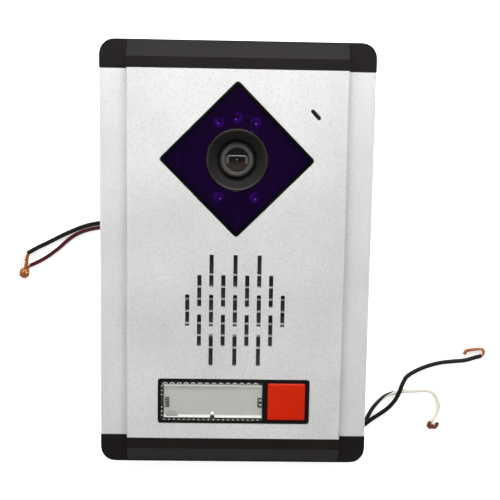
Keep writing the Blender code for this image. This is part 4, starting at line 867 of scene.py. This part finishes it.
# ---------------------------------------------------------------- view and light
@dataclass(frozen=True)
class Studio:
    """Camera, lamps and floor."""

    eye: Point = (-0.00055, 0.0449, 0.3885)
    tilt: Point = (-6.69, -1.0, 0.93)
    lens: float = 58.0
    floor_half: float = 1.6
    floor_drop: float = 0.0003

    def set_camera(self) -> None:
        """Look down on the station, nearly square to its front."""
        data = bpy.data.cameras.new("view")
        data.lens = self.lens
        data.sensor_width = 36.0
        data.clip_start = 0.01
        camera = bpy.data.objects.new("view", data)
        camera.location = self.eye
        camera.rotation_euler = [math.radians(angle) for angle in self.tilt]
        bpy.context.scene.collection.objects.link(camera)
        bpy.context.scene.camera = camera

    def add_lamp(self, name: str, away: Point, size: tuple[float, float], power: float) -> None:
        """Hang a soft lamp that faces the station.

        Args:
            name: The lamp's name.
            away: Its place.
            size: Its width and height.
            power: Its watts.
        """
        data = bpy.data.lights.new(name, "AREA")
        data.shape = "RECTANGLE"
        data.size, data.size_y = size
        data.energy = power
        lamp = bpy.data.objects.new(name, data)
        lamp.location = away
        lamp.rotation_euler = (-Vector(away)).to_track_quat("-Z", "Y").to_euler()
        bpy.context.scene.collection.objects.link(lamp)

    def light(self) -> None:
        """Hang the lamps and fill the room with a little even light."""
        self.add_lamp("top_softbox", (0.0, 0.58, 0.46), (0.8, 0.25), 8.5)
        self.add_lamp("bottom_softbox", (0.0, -0.95, 0.75), (1.3, 0.6), 5.5)
        self.add_lamp("left_softbox", (-1.05, 0.05, 0.80), (0.6, 1.3), 4.5)
        self.add_lamp("right_softbox", (1.05, 0.05, 0.80), (0.6, 1.3), 4.0)
        self.add_lamp("strip", (0.0, 0.186, 0.60), (0.63, 0.03), 0.5)
        self.add_lamp("glint", (0.0, 0.045, 0.42), (0.02, 0.02), 0.012)
        world = bpy.data.worlds.new("room")
        world.use_nodes = True
        background = world.node_tree.nodes["Background"]
        background.inputs["Color"].default_value = (1.0, 1.0, 1.0, 1.0)
        background.inputs["Strength"].default_value = 0.07
        bpy.context.scene.world = world
        bpy.context.scene.view_settings.view_transform = "Standard"

    def lay_floor(self) -> None:
        """Lay a plain pale floor under the station."""
        clear_bench()
        bpy.ops.mesh.primitive_plane_add(size=2 * self.floor_half, location=(0, 0, -self.floor_drop))
        floor = settle("floor")
        recipe = Recipe("pale_floor")
        recipe.feed(recipe.shader, {"Base Color": (0.90, 0.90, 0.90), "Roughness": 0.9,
                                    "Emission Color": (1.0, 1.0, 1.0), "Emission Strength": 0.5})
        floor.data.materials.append(recipe.material)


# ---------------------------------------------------------------- wires
@dataclass(frozen=True)
class Wire:
    """One insulated wire that lies free."""

    name: str
    node: str
    route: tuple[Point, ...]
    radius: float
    finish: Finish

    def lay(self, ends: Sequence[bpy.types.Object]) -> None:
        """Args:
            ends: The bare copper on its far end; not used.
        """
        line = smooth_route(self.route)
        wire = fit(tube(self.name, [line], self.radius, 4), self.finish, self.node)


@dataclass(frozen=True)
class Wires:
    """The two pairs of wires and their bare copper ends."""

    entry: float = 0.00615
    black_radius: float = 0.00105
    red_radius: float = 0.00095
    white_radius: float = 0.00100
    strand_radius: float = 0.00022
    strand_lay: float = 0.006
    pair_reach: float = 0.0025

    def bundle(self, name: str, points: Sequence[Point], spread: float, count: int, loose: float,
               finish: Finish, node: Optional[str] = None) -> bpy.types.Object:
        """Make a twist of bare strands.

        Args:
            name: The piece's name.
            points: Its route.
            spread: Radius that the strands lie at.
            count: Number of strands.
            loose: How far they open at the end.
            finish: Their finish.
            node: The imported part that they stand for.

        Returns:
            The piece.
        """
        strands = twisted(smooth_route(points, 8), count, spread, self.strand_lay, loose)
        piece = smooth(as_mesh(tube(name, strands, self.strand_radius, 2)), 60.0)
        return fit(piece, finish, *([node] if node else []))

    def ball(self, name: str, centre: Point, radius: float, flat: float, rings: int) -> bpy.types.Object:
        """Wind strands into a flattened ball.

        Args:
            name: The piece's name.
            centre: Its middle.
            radius: Its radius.
            flat: Its height as a share of its width.
            rings: Number of turns.

        Returns:
            The piece.
        """
        routes = []
        for ring in range(rings):
            kind = ring % 3
            lean = Matrix.Rotation(1.15 + 0.33 * kind, 3, "X")
            turn = Matrix.Rotation(math.pi * ring / rings, 3, "Z") @ lean
            size = radius * (0.86 + 0.07 * kind)
            route = []
            for step in range(33):
                angle = 2 * math.pi * step / 32
                spoke = turn @ Vector((size * math.cos(angle), size * math.sin(angle), 0))
                route.append(Vector(centre) + Vector((spoke.x, spoke.y, spoke.z * flat)))
            routes.append(route)
        wound = as_mesh(tube(name, routes, self.strand_radius * 1.3, 2))
        clear_bench()
        bpy.ops.mesh.primitive_uv_sphere_add(segments=24, ring_count=12, radius=radius * 0.85,
                                             location=centre, scale=(1, 1, flat))
        return weld(name, wound, settle("core"))

    def lay_left(self) -> None:
        """Lay the black and red pair and their splice."""
        x, y, offset = -0.030, 0.0130, self.pair_reach
        black = ((x + 0.003, y + offset, self.entry), (x - 0.004, y + offset, self.entry),
                 (-0.0395, 0.0154, 0.0050), (-0.0460, 0.0146, 0.0033), (-0.0530, 0.0134, 0.0025),
                 (-0.0600, 0.0122, 0.0022), (-0.0656, 0.0116, 0.0020), (-0.0706, 0.0106, 0.0013),
                 (-0.0751, 0.0091, 0.0011), (-0.0798, 0.0071, 0.0011), (-0.0822, 0.0060, 0.0011),
                 (-0.0844, 0.0049, 0.0011), (-0.0905, 0.0017, 0.0011), (-0.0952, -0.0006, 0.0011),
                 (-0.1001, -0.0034, 0.0011))
        red = ((x + 0.003, y - offset, self.entry), (x - 0.004, y - offset, self.entry),
               (-0.0395, 0.0106, 0.0047), (-0.0460, 0.0105, 0.0026), (-0.0530, 0.0103, 0.0013),
               (-0.0600, 0.0100, 0.0010), (-0.0656, 0.0094, 0.0010), (-0.0706, 0.0084, 0.0010),
               (-0.0746, 0.0070, 0.0010), (-0.0782, 0.0051, 0.0010), (-0.0813, 0.0027, 0.0010),
               (-0.0845, -0.0002, 0.0010), (-0.0876, -0.0027, 0.0010), (-0.0906, -0.0049, 0.0010),
               (-0.0937, -0.0068, 0.0010), (-0.0962, -0.0081, 0.0010), (-0.0990, -0.0094, 0.0010))
        splice = ((-0.0996, -0.0031, 0.0011), (-0.1006, -0.0052, 0.0011), (-0.1009, -0.0078, 0.0011),
                  (-0.1014, -0.0108, 0.0013), (-0.1018, -0.0130, 0.0016))
        upper = twisted(smooth_route(splice, 8), 10, 0.00072, self.strand_lay)
        strands = as_mesh(tube("splice_strands", upper, self.strand_radius, 2))
        second = ((-0.0986, -0.0092, 0.0010), (-0.1000, -0.0103, 0.0009), (-0.1014, -0.0122, 0.0011))
        lower = as_mesh(tube("red_strands", twisted(smooth_route(second, 8), 6, 0.00050, 0.005),
                             self.strand_radius, 2))
        knob = self.ball("splice_ball", (-0.1018, -0.0131, 0.00175), 0.0025, 0.56, 14)
        joint = smooth(weld("left_splice", strands, lower, knob), 60.0)
        fit(joint, COPPER, "wire_left_splice")
        whisker = self.bundle("left_splice_loop", ((-0.1014, -0.0060, 0.0009), (-0.1031, -0.0083, 0.0008),
                                                   (-0.1036, -0.0106, 0.0008), (-0.1034, -0.0126, 0.0011)),
                              0.0, 1, 0.0, TINNED)
        Wire("left_wire_black", "wire_left_black", black, self.black_radius, BLACK_PVC).lay([joint, whisker])
        Wire("left_wire_red", "wire_left_red", red, self.red_radius, RED_PVC).lay([])

    def lay_right(self) -> None:
        """Lay the black and white pair with their bare ends."""
        x, y, offset = 0.0385, -0.0660, self.pair_reach
        black = ((x - offset, y + 0.003, self.entry), (x - offset, y - 0.004, self.entry),
                 (0.0368, -0.0752, 0.0045), (0.0405, -0.0820, 0.0028), (0.0470, -0.0880, 0.0015),
                 (0.0550, -0.0909, 0.0011), (0.0612, -0.0900, 0.0011), (0.0660, -0.0866, 0.0011),
                 (0.0694, -0.0839, 0.0011), (0.0738, -0.0809, 0.0011), (0.0770, -0.0780, 0.0017),
                 (0.0796, -0.0744, 0.0027), (0.0815, -0.0703, 0.0033), (0.0831, -0.0662, 0.0027),
                 (0.0853, -0.0625, 0.0017), (0.0895, -0.0597, 0.0011), (0.0952, -0.0571, 0.0011),
                 (0.1018, -0.0552, 0.0011), (0.1084, -0.0544, 0.0011), (0.1141, -0.0538, 0.0011),
                 (0.1185, -0.0525, 0.0011), (0.1220, -0.0515, 0.0011))
        white = ((x + offset, y + 0.003, self.entry), (x + offset, y - 0.004, self.entry),
                 (0.0418, -0.0735, 0.0048), (0.0447, -0.0795, 0.0037), (0.0500, -0.0845, 0.0029),
                 (0.0568, -0.0872, 0.0026), (0.0620, -0.0867, 0.0026), (0.0657, -0.0840, 0.0026),
                 (0.0675, -0.0809, 0.0022), (0.0696, -0.0777, 0.0017), (0.0727, -0.0745, 0.0012),
                 (0.0757, -0.0722, 0.0010), (0.0797, -0.0707, 0.0010), (0.0846, -0.0698, 0.0010),
                 (0.0899, -0.0695, 0.0010), (0.0948, -0.0692, 0.0010), (0.0980, -0.0699, 0.0010),
                 (0.1003, -0.0723, 0.0010), (0.1018, -0.0760, 0.0010), (0.1015, -0.0801, 0.0010),
                 (0.0998, -0.0834, 0.0010), (0.0986, -0.0852, 0.0010))
        bent = ((0.1216, -0.0516, 0.0012), (0.1229, -0.0507, 0.0012), (0.1231, -0.0490, 0.0011),
                (0.1218, -0.0480, 0.0010), (0.1180, -0.0484, 0.0010), (0.1146, -0.0490, 0.0010),
                (0.1136, -0.0508, 0.0010))
        hook = self.bundle("right_black_strands", bent, 0.00050, 9, 0.00025, COPPER, "strands_right_black")
        folded = ((0.0987, -0.0851, 0.0010), (0.0977, -0.0862, 0.0010), (0.0974, -0.0873, 0.0010),
                  (0.0983, -0.0882, 0.0010), (0.0993, -0.0874, 0.0012), (0.1001, -0.0882, 0.0011),
                  (0.1012, -0.0876, 0.0010), (0.1019, -0.0858, 0.0010))
        knot = self.bundle("right_white_strands", folded, 0.00072, 12, 0.0, DARK_COPPER,
                           "strands_right_white")
        Wire("right_wire_black", "wire_right_black", black, self.black_radius, BLACK_PVC).lay([hook])
        Wire("right_wire_white", "wire_right_white", white, self.white_radius, WHITE_PVC).lay([knot])


# ---------------------------------------------------------------- fasteners
class Facing(Enum):
    """Which way a screw's head faces, as its turn about X in degrees."""

    TOP = -90.0
    BOTTOM = 90.0
    BACK = 180.0


@dataclass(frozen=True)
class Screw:
    """A pan head screw with a cross recess."""

    head_radius: float = 0.0027
    head_height: float = 0.0018
    shank_radius: float = 0.0013
    pitch: float = 0.0005

    def pattern(self, length: float) -> bpy.types.Object:
        """Turn one screw, head up at the origin.

        Args:
            length: Length of its shank.

        Returns:
            The screw.
        """
        radius, height, shank, pitch = self.head_radius, self.head_height, self.shank_radius, self.pitch
        profile = [(0.0, height), (radius * 0.35, height * 0.98), (radius * 0.68, height * 0.88),
                   (radius * 0.90, height * 0.66), (radius * 0.985, height * 0.40), (radius, height * 0.2),
                   (radius, 0.0001), (radius - 0.0001, 0.0), (shank, 0.0)]
        for turn in range(int((length - shank) / pitch) - 1):
            low = -turn * pitch
            profile += [(shank, low - pitch * 0.5), (shank * 0.86, low - pitch * 0.75), (shank, low - pitch)]
        profile += [(shank * 0.8, -length + shank), (0.0, -length)]
        screw = lathe("screw", profile, (0, 0), 40)
        for turn in (0.0, math.pi / 2):
            slot = block("slot", (-radius * 0.52, -radius * 0.10, height * 0.35),
                         (radius * 0.52, radius * 0.10, height * 1.2), turn)
            with editing(slot):
                choose_faces(slot, lambda centre, normal: normal.z < -0.9)
                bpy.ops.transform.resize(value=(0.55, 0.55, 1.0))
            carve(screw, slot)
        return smooth(screw, 32.0)

    def drive(self, node: str, facing: Facing) -> None:
        """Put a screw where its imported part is.

        Args:
            node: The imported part.
            facing: Which way its head faces.
        """
        low, high, centre = span(node)
        if facing is Facing.TOP:
            place = Vector((centre.x, high.y - self.head_height, centre.z))
        elif facing is Facing.BOTTOM:
            place = Vector((centre.x, low.y + self.head_height, centre.z))
        else:
            place = Vector((centre.x, centre.y, low.z + self.head_height))
        length = max(high - low) - self.head_height
        pattern = self.pattern(length)
        turn = Matrix.Rotation(math.radians(facing.value), 4, "X")
        screw = placed(pattern, node.replace("screw", "pan_screw"), Matrix.Translation(place) @ turn)
        bpy.data.objects.remove(pattern, do_unlink=True)
        fit(screw, ZINC, node)


# ---------------------------------------------------------------- housing
@dataclass(frozen=True)
class Housing:
    """Extruded front, end caps and their screws."""

    edge: float = 0.00028
    cap_edge: float = 0.00045

    def build(self) -> None:
        """Round the extrusion's and the caps' edges and drive the screws."""
        fit(refine("housing_profile", "housing_shell", self.edge, 2, 50.0), ANODISED, "housing_profile")
        for end in ("top", "bottom"):
            node = end + "_end_cap"
            fit(refine(node, end + "_cap_moulding", self.cap_edge, 3, 25.0), CAP_PLASTIC, node)
        for end, facing in (("top", Facing.TOP), ("bottom", Facing.BOTTOM)):
            for side in ("left", "right"):
                Screw().drive("cap_screw_%s_%s" % (end, side), facing)


@dataclass(frozen=True)
class Rear:
    """Rear cover, gasket, wall bracket and main board."""

    edge: float = 0.0003
    security_share: float = 0.85
    pole_reach: float = 0.0025
    clamp_radius: float = 0.00155

    def build(self) -> None:
        """Build what shows from behind."""
        fit(refine("rear_cover", "rear_cover_moulding", self.edge), REAR_PLASTIC, "rear_cover")
        fit(refine("rear_gasket", "rear_gasket_strip", 0.00015), RUBBER, "rear_gasket")
        fit(refine("wall_bracket", "wall_bracket_plate", 0.0002), STEEL, "wall_bracket")
        for end in ("top", "bottom"):
            for side in ("left", "right"):
                Screw().drive("cover_screw_%s_%s" % (end, side), Facing.BACK)
        Screw(head_radius=Screw.head_radius * self.security_share).drive("security_screw", Facing.BOTTOM)
        dress("main_board", GREEN_BOARD)
        self.build_terminals()
        fit(refine("volume_trimmer", "volume_trimmer_body", 0.0002), TRIMMER_BLUE, "volume_trimmer")
        dial = refine("volume_trimmer_rotor", "volume_trimmer_dial", 0.00012)
        fit(dial, ROTOR_WHITE, "volume_trimmer_rotor", body="trimmer_rotor")

    def build_terminals(self) -> None:
        """Round the terminal blocks' edges and put a clamp screw in each of their wells."""
        for side, across in (("left", Vector((0, 1, 0))), ("right", Vector((1, 0, 0)))):
            node = "terminal_block_" + side
            fit(refine(node, "terminal_body_" + side, 0.0002), TERMINAL_GREEN, node)
            low, high, centre = span(node)
            for pole, name in ((-1, "a"), (1, "b")):
                place = centre + across * pole * self.pole_reach
                screw = drum("clamp_screw_%s_%s" % (side, name), self.clamp_radius, low.z + 0.0004,
                             low.z + 0.0012, place, 32)
                slot_low = (place.x - 0.002, place.y - 0.00025, low.z)
                slot_high = (place.x + 0.002, place.y + 0.00025, low.z + 0.0008)
                slot = block("slot", slot_low, slot_high, 0.4 * pole)
                fit(soften(carve(screw, slot), 0.0001), ZINC)


# ---------------------------------------------------------------- camera
@dataclass(frozen=True)
class CameraUnit:
    """Tinted window with what lies behind it."""

    corner: float = 0.0012
    dome: float = 0.0008
    hole: float = 0.01365
    shroud_radius: float = 0.01335
    shroud_rings: int = 7
    barrel_radius: float = 0.00735
    lamp_radius: float = 0.0025
    clip_reach: float = 0.0262

    def build(self) -> None:
        """Build the camera unit from its window down."""
        fit(refine("camera_bezel", "bezel_frame", 0.0002, 2, 50.0), BEZEL_BLACK, "camera_bezel")
        self.build_window()
        self.build_lens()
        self.build_lamps()
        fit(refine("camera_carrier", "carrier_tray", 0.0002), LENS_BLACK, "camera_carrier")
        self.build_ribs()
        dress("lens_holder", LENS_BLACK)
        dress("image_sensor", SENSOR)
        dress("camera_board", GREEN_BOARD)

    def build_window(self) -> None:
        """Cut the tinted window with its round hole."""
        low, high, centre = span("camera_window")
        half = (high.x - low.x + 2 * self.corner * (math.sqrt(2) - 1)) / 2 / math.sqrt(2)
        window = block("tinted_window_pane", (centre.x - half, centre.y - half, low.z),
                       (centre.x + half, centre.y + half, high.z), math.pi / 4)
        bevel_corners(window, self.corner, 6)
        hole = drum("hole", self.hole, low.z - GAP, high.z + GAP, middle("lens_barrel"), 128)
        fit(soften(carve(window, hole), 0.00018, 2, 50.0), TINTED, "camera_window")

    def build_lens(self) -> None:
        """Turn the shroud, the barrel and the front glass."""
        centre = middle("lens_barrel")
        low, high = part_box("lens_shroud")
        outer = self.shroud_radius
        foot = (high.x - low.x) / 2
        top = high.z
        base = low.z
        shroud = [(outer - 0.0007, top - 0.0001), (outer - 0.0004, top), (outer - 0.0001, top - 0.0001),
                  (outer, top - 0.0004), (outer, base + 0.001), (foot, base + 0.001), (foot, base),
                  (outer - 0.00075, base), (outer - 0.00075, base + 0.0012), (0.0086, base + 0.0012),
                  (0.0086, base + 0.0021)]
        for ring in range(self.shroud_rings):
            radius = 0.0088 + ring * 0.00048
            height = base + 0.0024 + ring * (top - base - 0.0035) / self.shroud_rings
            shroud += [(radius, height), (radius + 0.00028, height + 0.00005)]
        shroud += [(outer - 0.0012, top - 0.0006), (outer - 0.0007, top - 0.0001)]
        fit(lathe("shroud_cone", shroud, centre), SHROUD_LIT_BLACK, "lens_shroud")
        low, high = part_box("lens_barrel")
        radius, top, seat = self.barrel_radius, high.z, high.z - 0.0022
        barrel = [(radius, low.z), (0.0044, low.z), (0.0044, seat), (0.0052, seat), (0.0052, top - 0.0004),
                  (0.0054, top - 0.0001), (0.0056, top), (0.0067, top), (0.0068, top - 0.00018),
                  (0.00695, top - 0.00018), (0.00705, top), (0.0072, top - 0.0001), (radius, top - 0.0003),
                  (radius, low.z)]
        fit(lathe("barrel_tube", barrel, centre), BARREL_GREY, "lens_barrel")
        low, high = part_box("lens_glass")
        rim = high.z - self.dome
        radius = (high.x - low.x) / 2
        glass = []
        for step in range(17):
            share = step / 16
            glass.append((radius * share, rim + self.dome * (1 - share ** 2)))
        glass += [(radius, low.z), (0.0, low.z)]
        fit(lathe("front_glass", glass, centre), replace(LENS_GLASS, line=centre.y), "lens_glass")

    def build_lamps(self) -> None:
        """Turn the infrared lamps, their painted glints and the light sensor, and populate their board."""
        for number in range(1, 6):
            node = "ir_led_%d" % number
            low, high, centre = span(node)
            radius = self.lamp_radius
            lens = [(0.0, high.z)]
            for step in range(1, 9):
                angle = math.pi / 2 * step / 8
                lens.append((radius * math.sin(angle), high.z - radius * (1 - math.cos(angle))))
            foot = radius + 0.0004
            lens += [(radius, low.z + 0.0010), (foot, low.z + 0.0009), (foot, low.z), (0.0, low.z)]
            fit(lathe("lamp_lens_%d" % number, lens, centre, 40), LAMP_CLEAR, node)
            self.build_glints(number, centre, low.z + 0.0036)
        dome = smooth(refine("light_sensor", "light_sensor_dome", 0.0001, 2, 50.0), 60.0)
        fit(dome, SENSOR_RESIN, "light_sensor")
        low, high, centre = span("ir_board")
        radius = (high.x - low.x) / 2
        board = [(radius - 0.0001, high.z), (radius, high.z - 0.0001), (radius, low.z), (0.0130, low.z),
                 (0.0130, high.z), (radius - 0.0001, high.z)]
        fit(lathe("lamp_board", board, centre), DARK_BOARD, "ir_board")
        chip = block("chip", (-0.0010, -0.0005, 0.0), (0.0010, 0.0005, 0.0005))
        soften(chip, 0.00008)
        places = []
        for angle in (150, 170, 195, 215, 325, 345, 8, 30, 250, 290):
            turn = Matrix.Rotation(math.radians(angle), 4, "Z")
            move = Matrix.Translation((centre.x, centre.y, high.z + 0.0001))
            places.append(move @ turn @ Matrix.Translation((0.0185, 0, 0)))
        fit(row_of(chip, "lamp_board_resistors", places), ZINC)

    def build_glints(self, number: int, centre: Vector, height: float) -> None:
        """Form a lamp's painted glints: broken rings at its cup and a chip, both glowing, which stand in for
        reflections, since the infrared lamps give no visible light.

        Args:
            number: The lamp's number.
            centre: Place of its axis.
            height: Height of the rings.
        """
        # The glowing rings and chip below are painted glints, not light from the lamp.
        start = 0.9 + 1.3 * number
        rings = []
        for radius, reach in ((0.00195, 4.9), (0.00105, 3.6)):
            ring = []
            for step in range(25):
                angle = start + reach * step / 24
                x = centre.x + radius * math.cos(angle)
                ring.append((x, centre.y + radius * math.sin(angle), height))
            rings.append(ring)
        fit(smooth(as_mesh(tube("cup_glint_%d" % number, rings, 0.00022, 2)), 60.0), CUP_GLINT)
        place = (centre.x + 0.0008 * math.cos(start), centre.y - 0.0007, height + 0.0003)
        clear_bench()
        bpy.ops.mesh.primitive_uv_sphere_add(segments=16, ring_count=8, radius=0.00036, scale=(1.5, 1, 0.5),
                                             rotation=(0, 0, start), location=place)
        fit(smooth(settle("chip_glint_%d" % number), 60.0), CHIP_GLINT)

    def build_ribs(self) -> None:
        """Mould the ribs and clips that show faintly through the window, painted light grey as painted
        highlights on the black carrier, and add a painted highlight ring at the shroud's foot.
        """
        low, high, centre = span("camera_carrier")
        floor = low.z + 0.0016 + 0.0040
        top = high.z - 0.0006
        pieces = [block("rib", (centre.x + 0.0002, low.y + 0.0035, floor),
                        (centre.x + 0.0012, low.y + 0.0145, top))]
        for side in (-1, 1):
            x = centre.x + side * self.clip_reach
            pieces.append(block("clip", (x - 0.0006, centre.y - 0.0036, floor),
                                (x + 0.0006, centre.y + 0.0036, top)))
            pieces.append(block("hook", (x - 0.0016, centre.y + 0.0012, floor),
                                (x + 0.0016, centre.y + 0.0026, high.z - 0.0016)))
        fit(soften(weld("carrier_ribs", *pieces), 0.00015), HIGHLIGHT_GREY)
        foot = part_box("lens_shroud")
        height = foot[0].z + 0.0010
        radius = (foot[1].x - foot[0].x) / 2
        rim = [(radius - 0.0003, height), (radius - 0.0001, height), (radius - 0.0001, height + 0.0003),
               (radius - 0.0003, height + 0.0003), (radius - 0.0003, height)]
        fit(lathe("shroud_foot_highlight", rim, middle("lens_barrel")), HIGHLIGHT_GREY)


# ---------------------------------------------------------------- sound
@dataclass(frozen=True)
class Sound:
    """Grille insert, dust cloth, loudspeaker and microphone."""

    def build(self) -> None:
        """Build what lies behind the slots."""
        dress("grille_insert", SILVER)
        dress("speaker_mesh", CLOTH)
        for node, finish in (("speaker_frame", SPEAKER_STEEL), ("speaker_cone", PAPER),
                             ("speaker_magnet", SPEAKER_STEEL), ("speaker_lead", RED_PVC)):
            dress(node, finish)
        low, high, centre = span("microphone_boot")
        outer = (high.x - low.x) / 2
        boot = [(outer - 0.0002, high.z), (outer, high.z - 0.0002), (outer, low.z), (0.0033, low.z),
                (0.0033, high.z - 0.0012), (0.0010, high.z - 0.0012), (0.0010, high.z - 0.0002),
                (0.0012, high.z), (outer - 0.0002, high.z)]
        fit(lathe("mic_boot", boot, centre, 64), RUBBER, "microphone_boot")
        low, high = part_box("microphone_capsule")
        radius = (high.x - low.x) / 2
        capsule = [(0.0, high.z), (radius - 0.0004, high.z), (radius - 0.0001, high.z - 0.0001),
                   (radius, high.z - 0.0004), (radius, low.z), (0.0, low.z)]
        fit(lathe("mic_capsule", capsule, centre, 48), RUBBER, "microphone_capsule")


# ---------------------------------------------------------------- call module
@dataclass(frozen=True)
class CallModule:
    """Frame, name window with its card, and the call button."""

    arch_pitch: float = 0.0031
    arch_radius: float = 0.00105
    bump_pitch: float = 0.0022
    border: float = 0.0011
    pane: float = 0.0008
    wall: float = 0.0015
    roof: float = 0.00085
    dish_reach: float = 0.0069
    dish_depth: float = 0.00028
    dish_lift: float = 0.0004

    def build(self) -> None:
        """Build the module from its frame to its button."""
        fit(refine("call_module_frame", "module_frame", 0.00022, 2, 50.0), MODULE_BLACK, "call_module_frame")
        self.build_name_window()
        self.build_beads()
        self.build_card()
        self.build_clips()
        self.build_button()
        dress("call_board", GREEN_BOARD)

    def build_name_window(self) -> None:
        """Form the clear cover: a thin pane with a rim that stands round the card."""
        low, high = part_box("name_window")
        cover = block("name_cover", low, high)
        bevel_corners(cover, 0.0004, 3)
        reach = Vector((self.border, self.border, 0))
        hollow = block("hollow", low + reach - Vector((0, 0, GAP)), high - reach - Vector((0, 0, self.pane)))
        fit(soften(carve(cover, hollow), 0.00012, 2, 50.0), CLEAR_COVER, "name_window")

    def build_beads(self) -> None:
        """Form the half rings along the cover's top edge and the bumps along its other edges."""
        low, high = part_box("name_window")
        clear_bench()
        bpy.ops.mesh.primitive_torus_add(major_radius=self.arch_radius, minor_radius=0.00021,
                                         major_segments=32, minor_segments=8)
        arch = settle("arch")
        with editing(arch):
            bpy.ops.mesh.select_all(action="SELECT")
            bpy.ops.mesh.bisect(plane_co=(0, 0, 0), plane_no=(0, 1, 0), clear_inner=True, use_fill=True)
        places = []
        for index in range(int((high.x - low.x) / self.arch_pitch)):
            x = low.x + 0.0010 + self.arch_radius + index * self.arch_pitch
            places.append(Matrix.Translation((x, high.y - 0.0016, high.z + 0.00005)))
        arches = row_of(arch, "cover_arches", places)
        clear_bench()
        bpy.ops.mesh.primitive_uv_sphere_add(segments=16, ring_count=8, radius=0.0004, scale=(1, 0.7, 0.6))
        bump = settle("bump")
        places = []
        for index in range(int((high.x - low.x) / self.bump_pitch)):
            x = low.x + 0.0016 + index * self.bump_pitch
            places.append(Matrix.Translation((x, low.y + 0.0004, high.z)))
        for index in (0, 1, 2, 5, 6, 7):
            places.append(Matrix.Translation((low.x + 0.0005, low.y + 0.0022 + index * 0.0019, high.z)))
        bumps = row_of(bump, "cover_bumps", places)
        fit(smooth(weld("cover_beads", arches, bumps), 60.0), BEAD_CLEAR)

    def build_card(self) -> None:
        """Lay the frosted card on its light guide, inside a dark border."""
        low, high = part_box("name_card")
        window_low, window_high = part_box("name_window")
        card_low = Vector((low.x + 0.0010, low.y, low.z))
        card_high = Vector((high.x, high.y - 0.0013, high.z))
        card = block("name_card_sheet", card_low, card_high)
        finish = Marked("frosted_card", (0.355, 0.355, 0.345), (0.40, 0.40, 0.39), (0.40, 0.60), specular=0.3,
                        edges=(card_low.y, card_high.y))
        fit(soften(card, 0.0001), finish, "name_card")
        border = block("name_border", (window_low.x + 0.0001, window_low.y + 0.0001, window_low.z - 0.0002),
                       (window_high.x - 0.0001, window_high.y - 0.0001, window_low.z))
        opening = block("opening", (card_low.x, window_low.y + 0.0009, low.z),
                        (window_high.x - 0.0004, card_high.y, high.z + 0.001))
        fit(carve(border, opening), MODULE_BLACK)
        guide_low, guide_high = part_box("name_light_guide")
        fit(soften(block("name_guide", guide_low, guide_high), 0.0002), GUIDE, "name_light_guide")

    def build_clips(self) -> None:
        """Form the cover's clips and catch, which stand on the card."""
        low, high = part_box("name_card")
        top = high.z
        middle_y = (low.y + high.y) / 2 - 0.0009
        left = low.x + 0.0015
        ladder = [block("back", (left + 0.0013, middle_y - 0.0022, top),
                        (left + 0.0017, middle_y + 0.0022, top + 0.0004))]
        for rung in range(5):
            y = middle_y + (rung - 2) * 0.0010
            ladder.append(block("rung", (left, y - 0.00018, top), (left + 0.0020, y + 0.00018, top + 0.0004)))
        right = high.x - 0.0021
        outer = block("loop", (right, middle_y - 0.0022, top),
                      (right + 0.0021, middle_y + 0.0022, top + 0.0004))
        bevel_corners(outer, 0.0005, 4)
        for y in (-0.0009, 0.0011):
            eye = block("eye", (right + 0.0005, middle_y + y - 0.0006, low.z),
                        (right + 0.0024, middle_y + y + 0.0006, top + 0.001))
            carve(outer, eye)
        notch = (low.x + high.x) / 2 + 0.0002
        catch = block("catch", (notch - 0.0010, low.y, top), (notch + 0.0010, low.y + 0.0018, top + 0.0006))
        bevel_corners(catch, 0.0006, 4)
        fit(soften(weld("cover_clips", outer, catch, *ladder), 0.00006), MODULE_BLACK)
        # The flat white spot above the catch is a painted highlight.
        clear_bench()
        bpy.ops.mesh.primitive_uv_sphere_add(segments=24, ring_count=12, radius=0.0007, scale=(1, 1, 0.25),
                                             location=(notch, low.y + 0.0027, top))
        fit(smooth(settle("catch_highlight"), 60.0), CATCH_HIGHLIGHT)
        spot = drum("gate_mark", 0.0027, top, top + 0.00012, (low.x + 0.0046, low.y + 0.0012), 48)
        with editing(spot):
            bpy.ops.mesh.select_all(action="SELECT")
            bpy.ops.mesh.bisect(plane_co=(0, low.y + 0.0012, 0), plane_no=(0, 1, 0), clear_inner=True,
                                use_fill=True)
        fit(spot, GATE_GREY)

    def build_button(self) -> None:
        """Form the button with its bevelled edge and shallow dish, its plunger, switch and spring."""
        low, high, centre = span("call_button")
        button = block("call_button_cap", low, (high.x, high.y, high.z - 0.0005))
        bevel_corners(button, 0.0008, 5)
        step_top(button, ((0.0001, 0.00012), (0.00042, 0.00034), (0.0001, 0.00004)))
        reach = Vector((self.wall, self.wall, 0))
        hollow_top = high - reach - Vector((0, 0, self.roof))
        carve(button, block("hollow", low + reach - Vector((0, 0, GAP)), hollow_top))
        dish = lathe("dish", self.dish_profile(high.z), centre, 96)
        fit(smooth(carve(button, dish), 24.0), ORANGE, "call_button", body="call_button")
        low, high, centre = span("button_plunger")
        plunger = drum("plunger_pin", (high.x - low.x) / 2, low.z, high.z, centre, 40)
        fit(soften(plunger, 0.0002), ROTOR_WHITE, "button_plunger", body="call_button")
        fit(refine("button_switch", "switch_body", 0.0002, 2, 50.0), MODULE_BLACK, "button_switch")
        dress("button_return_spring", SPRING)

    def dish_profile(self, top: float) -> list[tuple[float, float]]:
        """Return the profile of the shape that hollows the button's face.

        Args:
            top: Height of the button's face.

        Returns:
            Points of radius and height.
        """
        profile = [(0.0, top + self.dish_lift), (self.dish_reach * 1.1, top + self.dish_lift)]
        for step in range(12):
            share = 1.1 - step * 0.1
            profile.append((self.dish_reach * share, top - self.dish_depth * (1 - share ** 2)))
        return profile


def main() -> None:
    """Build the station's looks, sub-assembly by sub-assembly."""
    studio = Studio()
    studio.set_camera()
    wires = Wires()
    wires.lay_left()
    wires.lay_right()
    Housing().build()
    Rear().build()
    CameraUnit().build()
    Sound().build()
    CallModule().build()
    studio.light()
    studio.lay_floor()


if __name__ == "__main__":
    main()
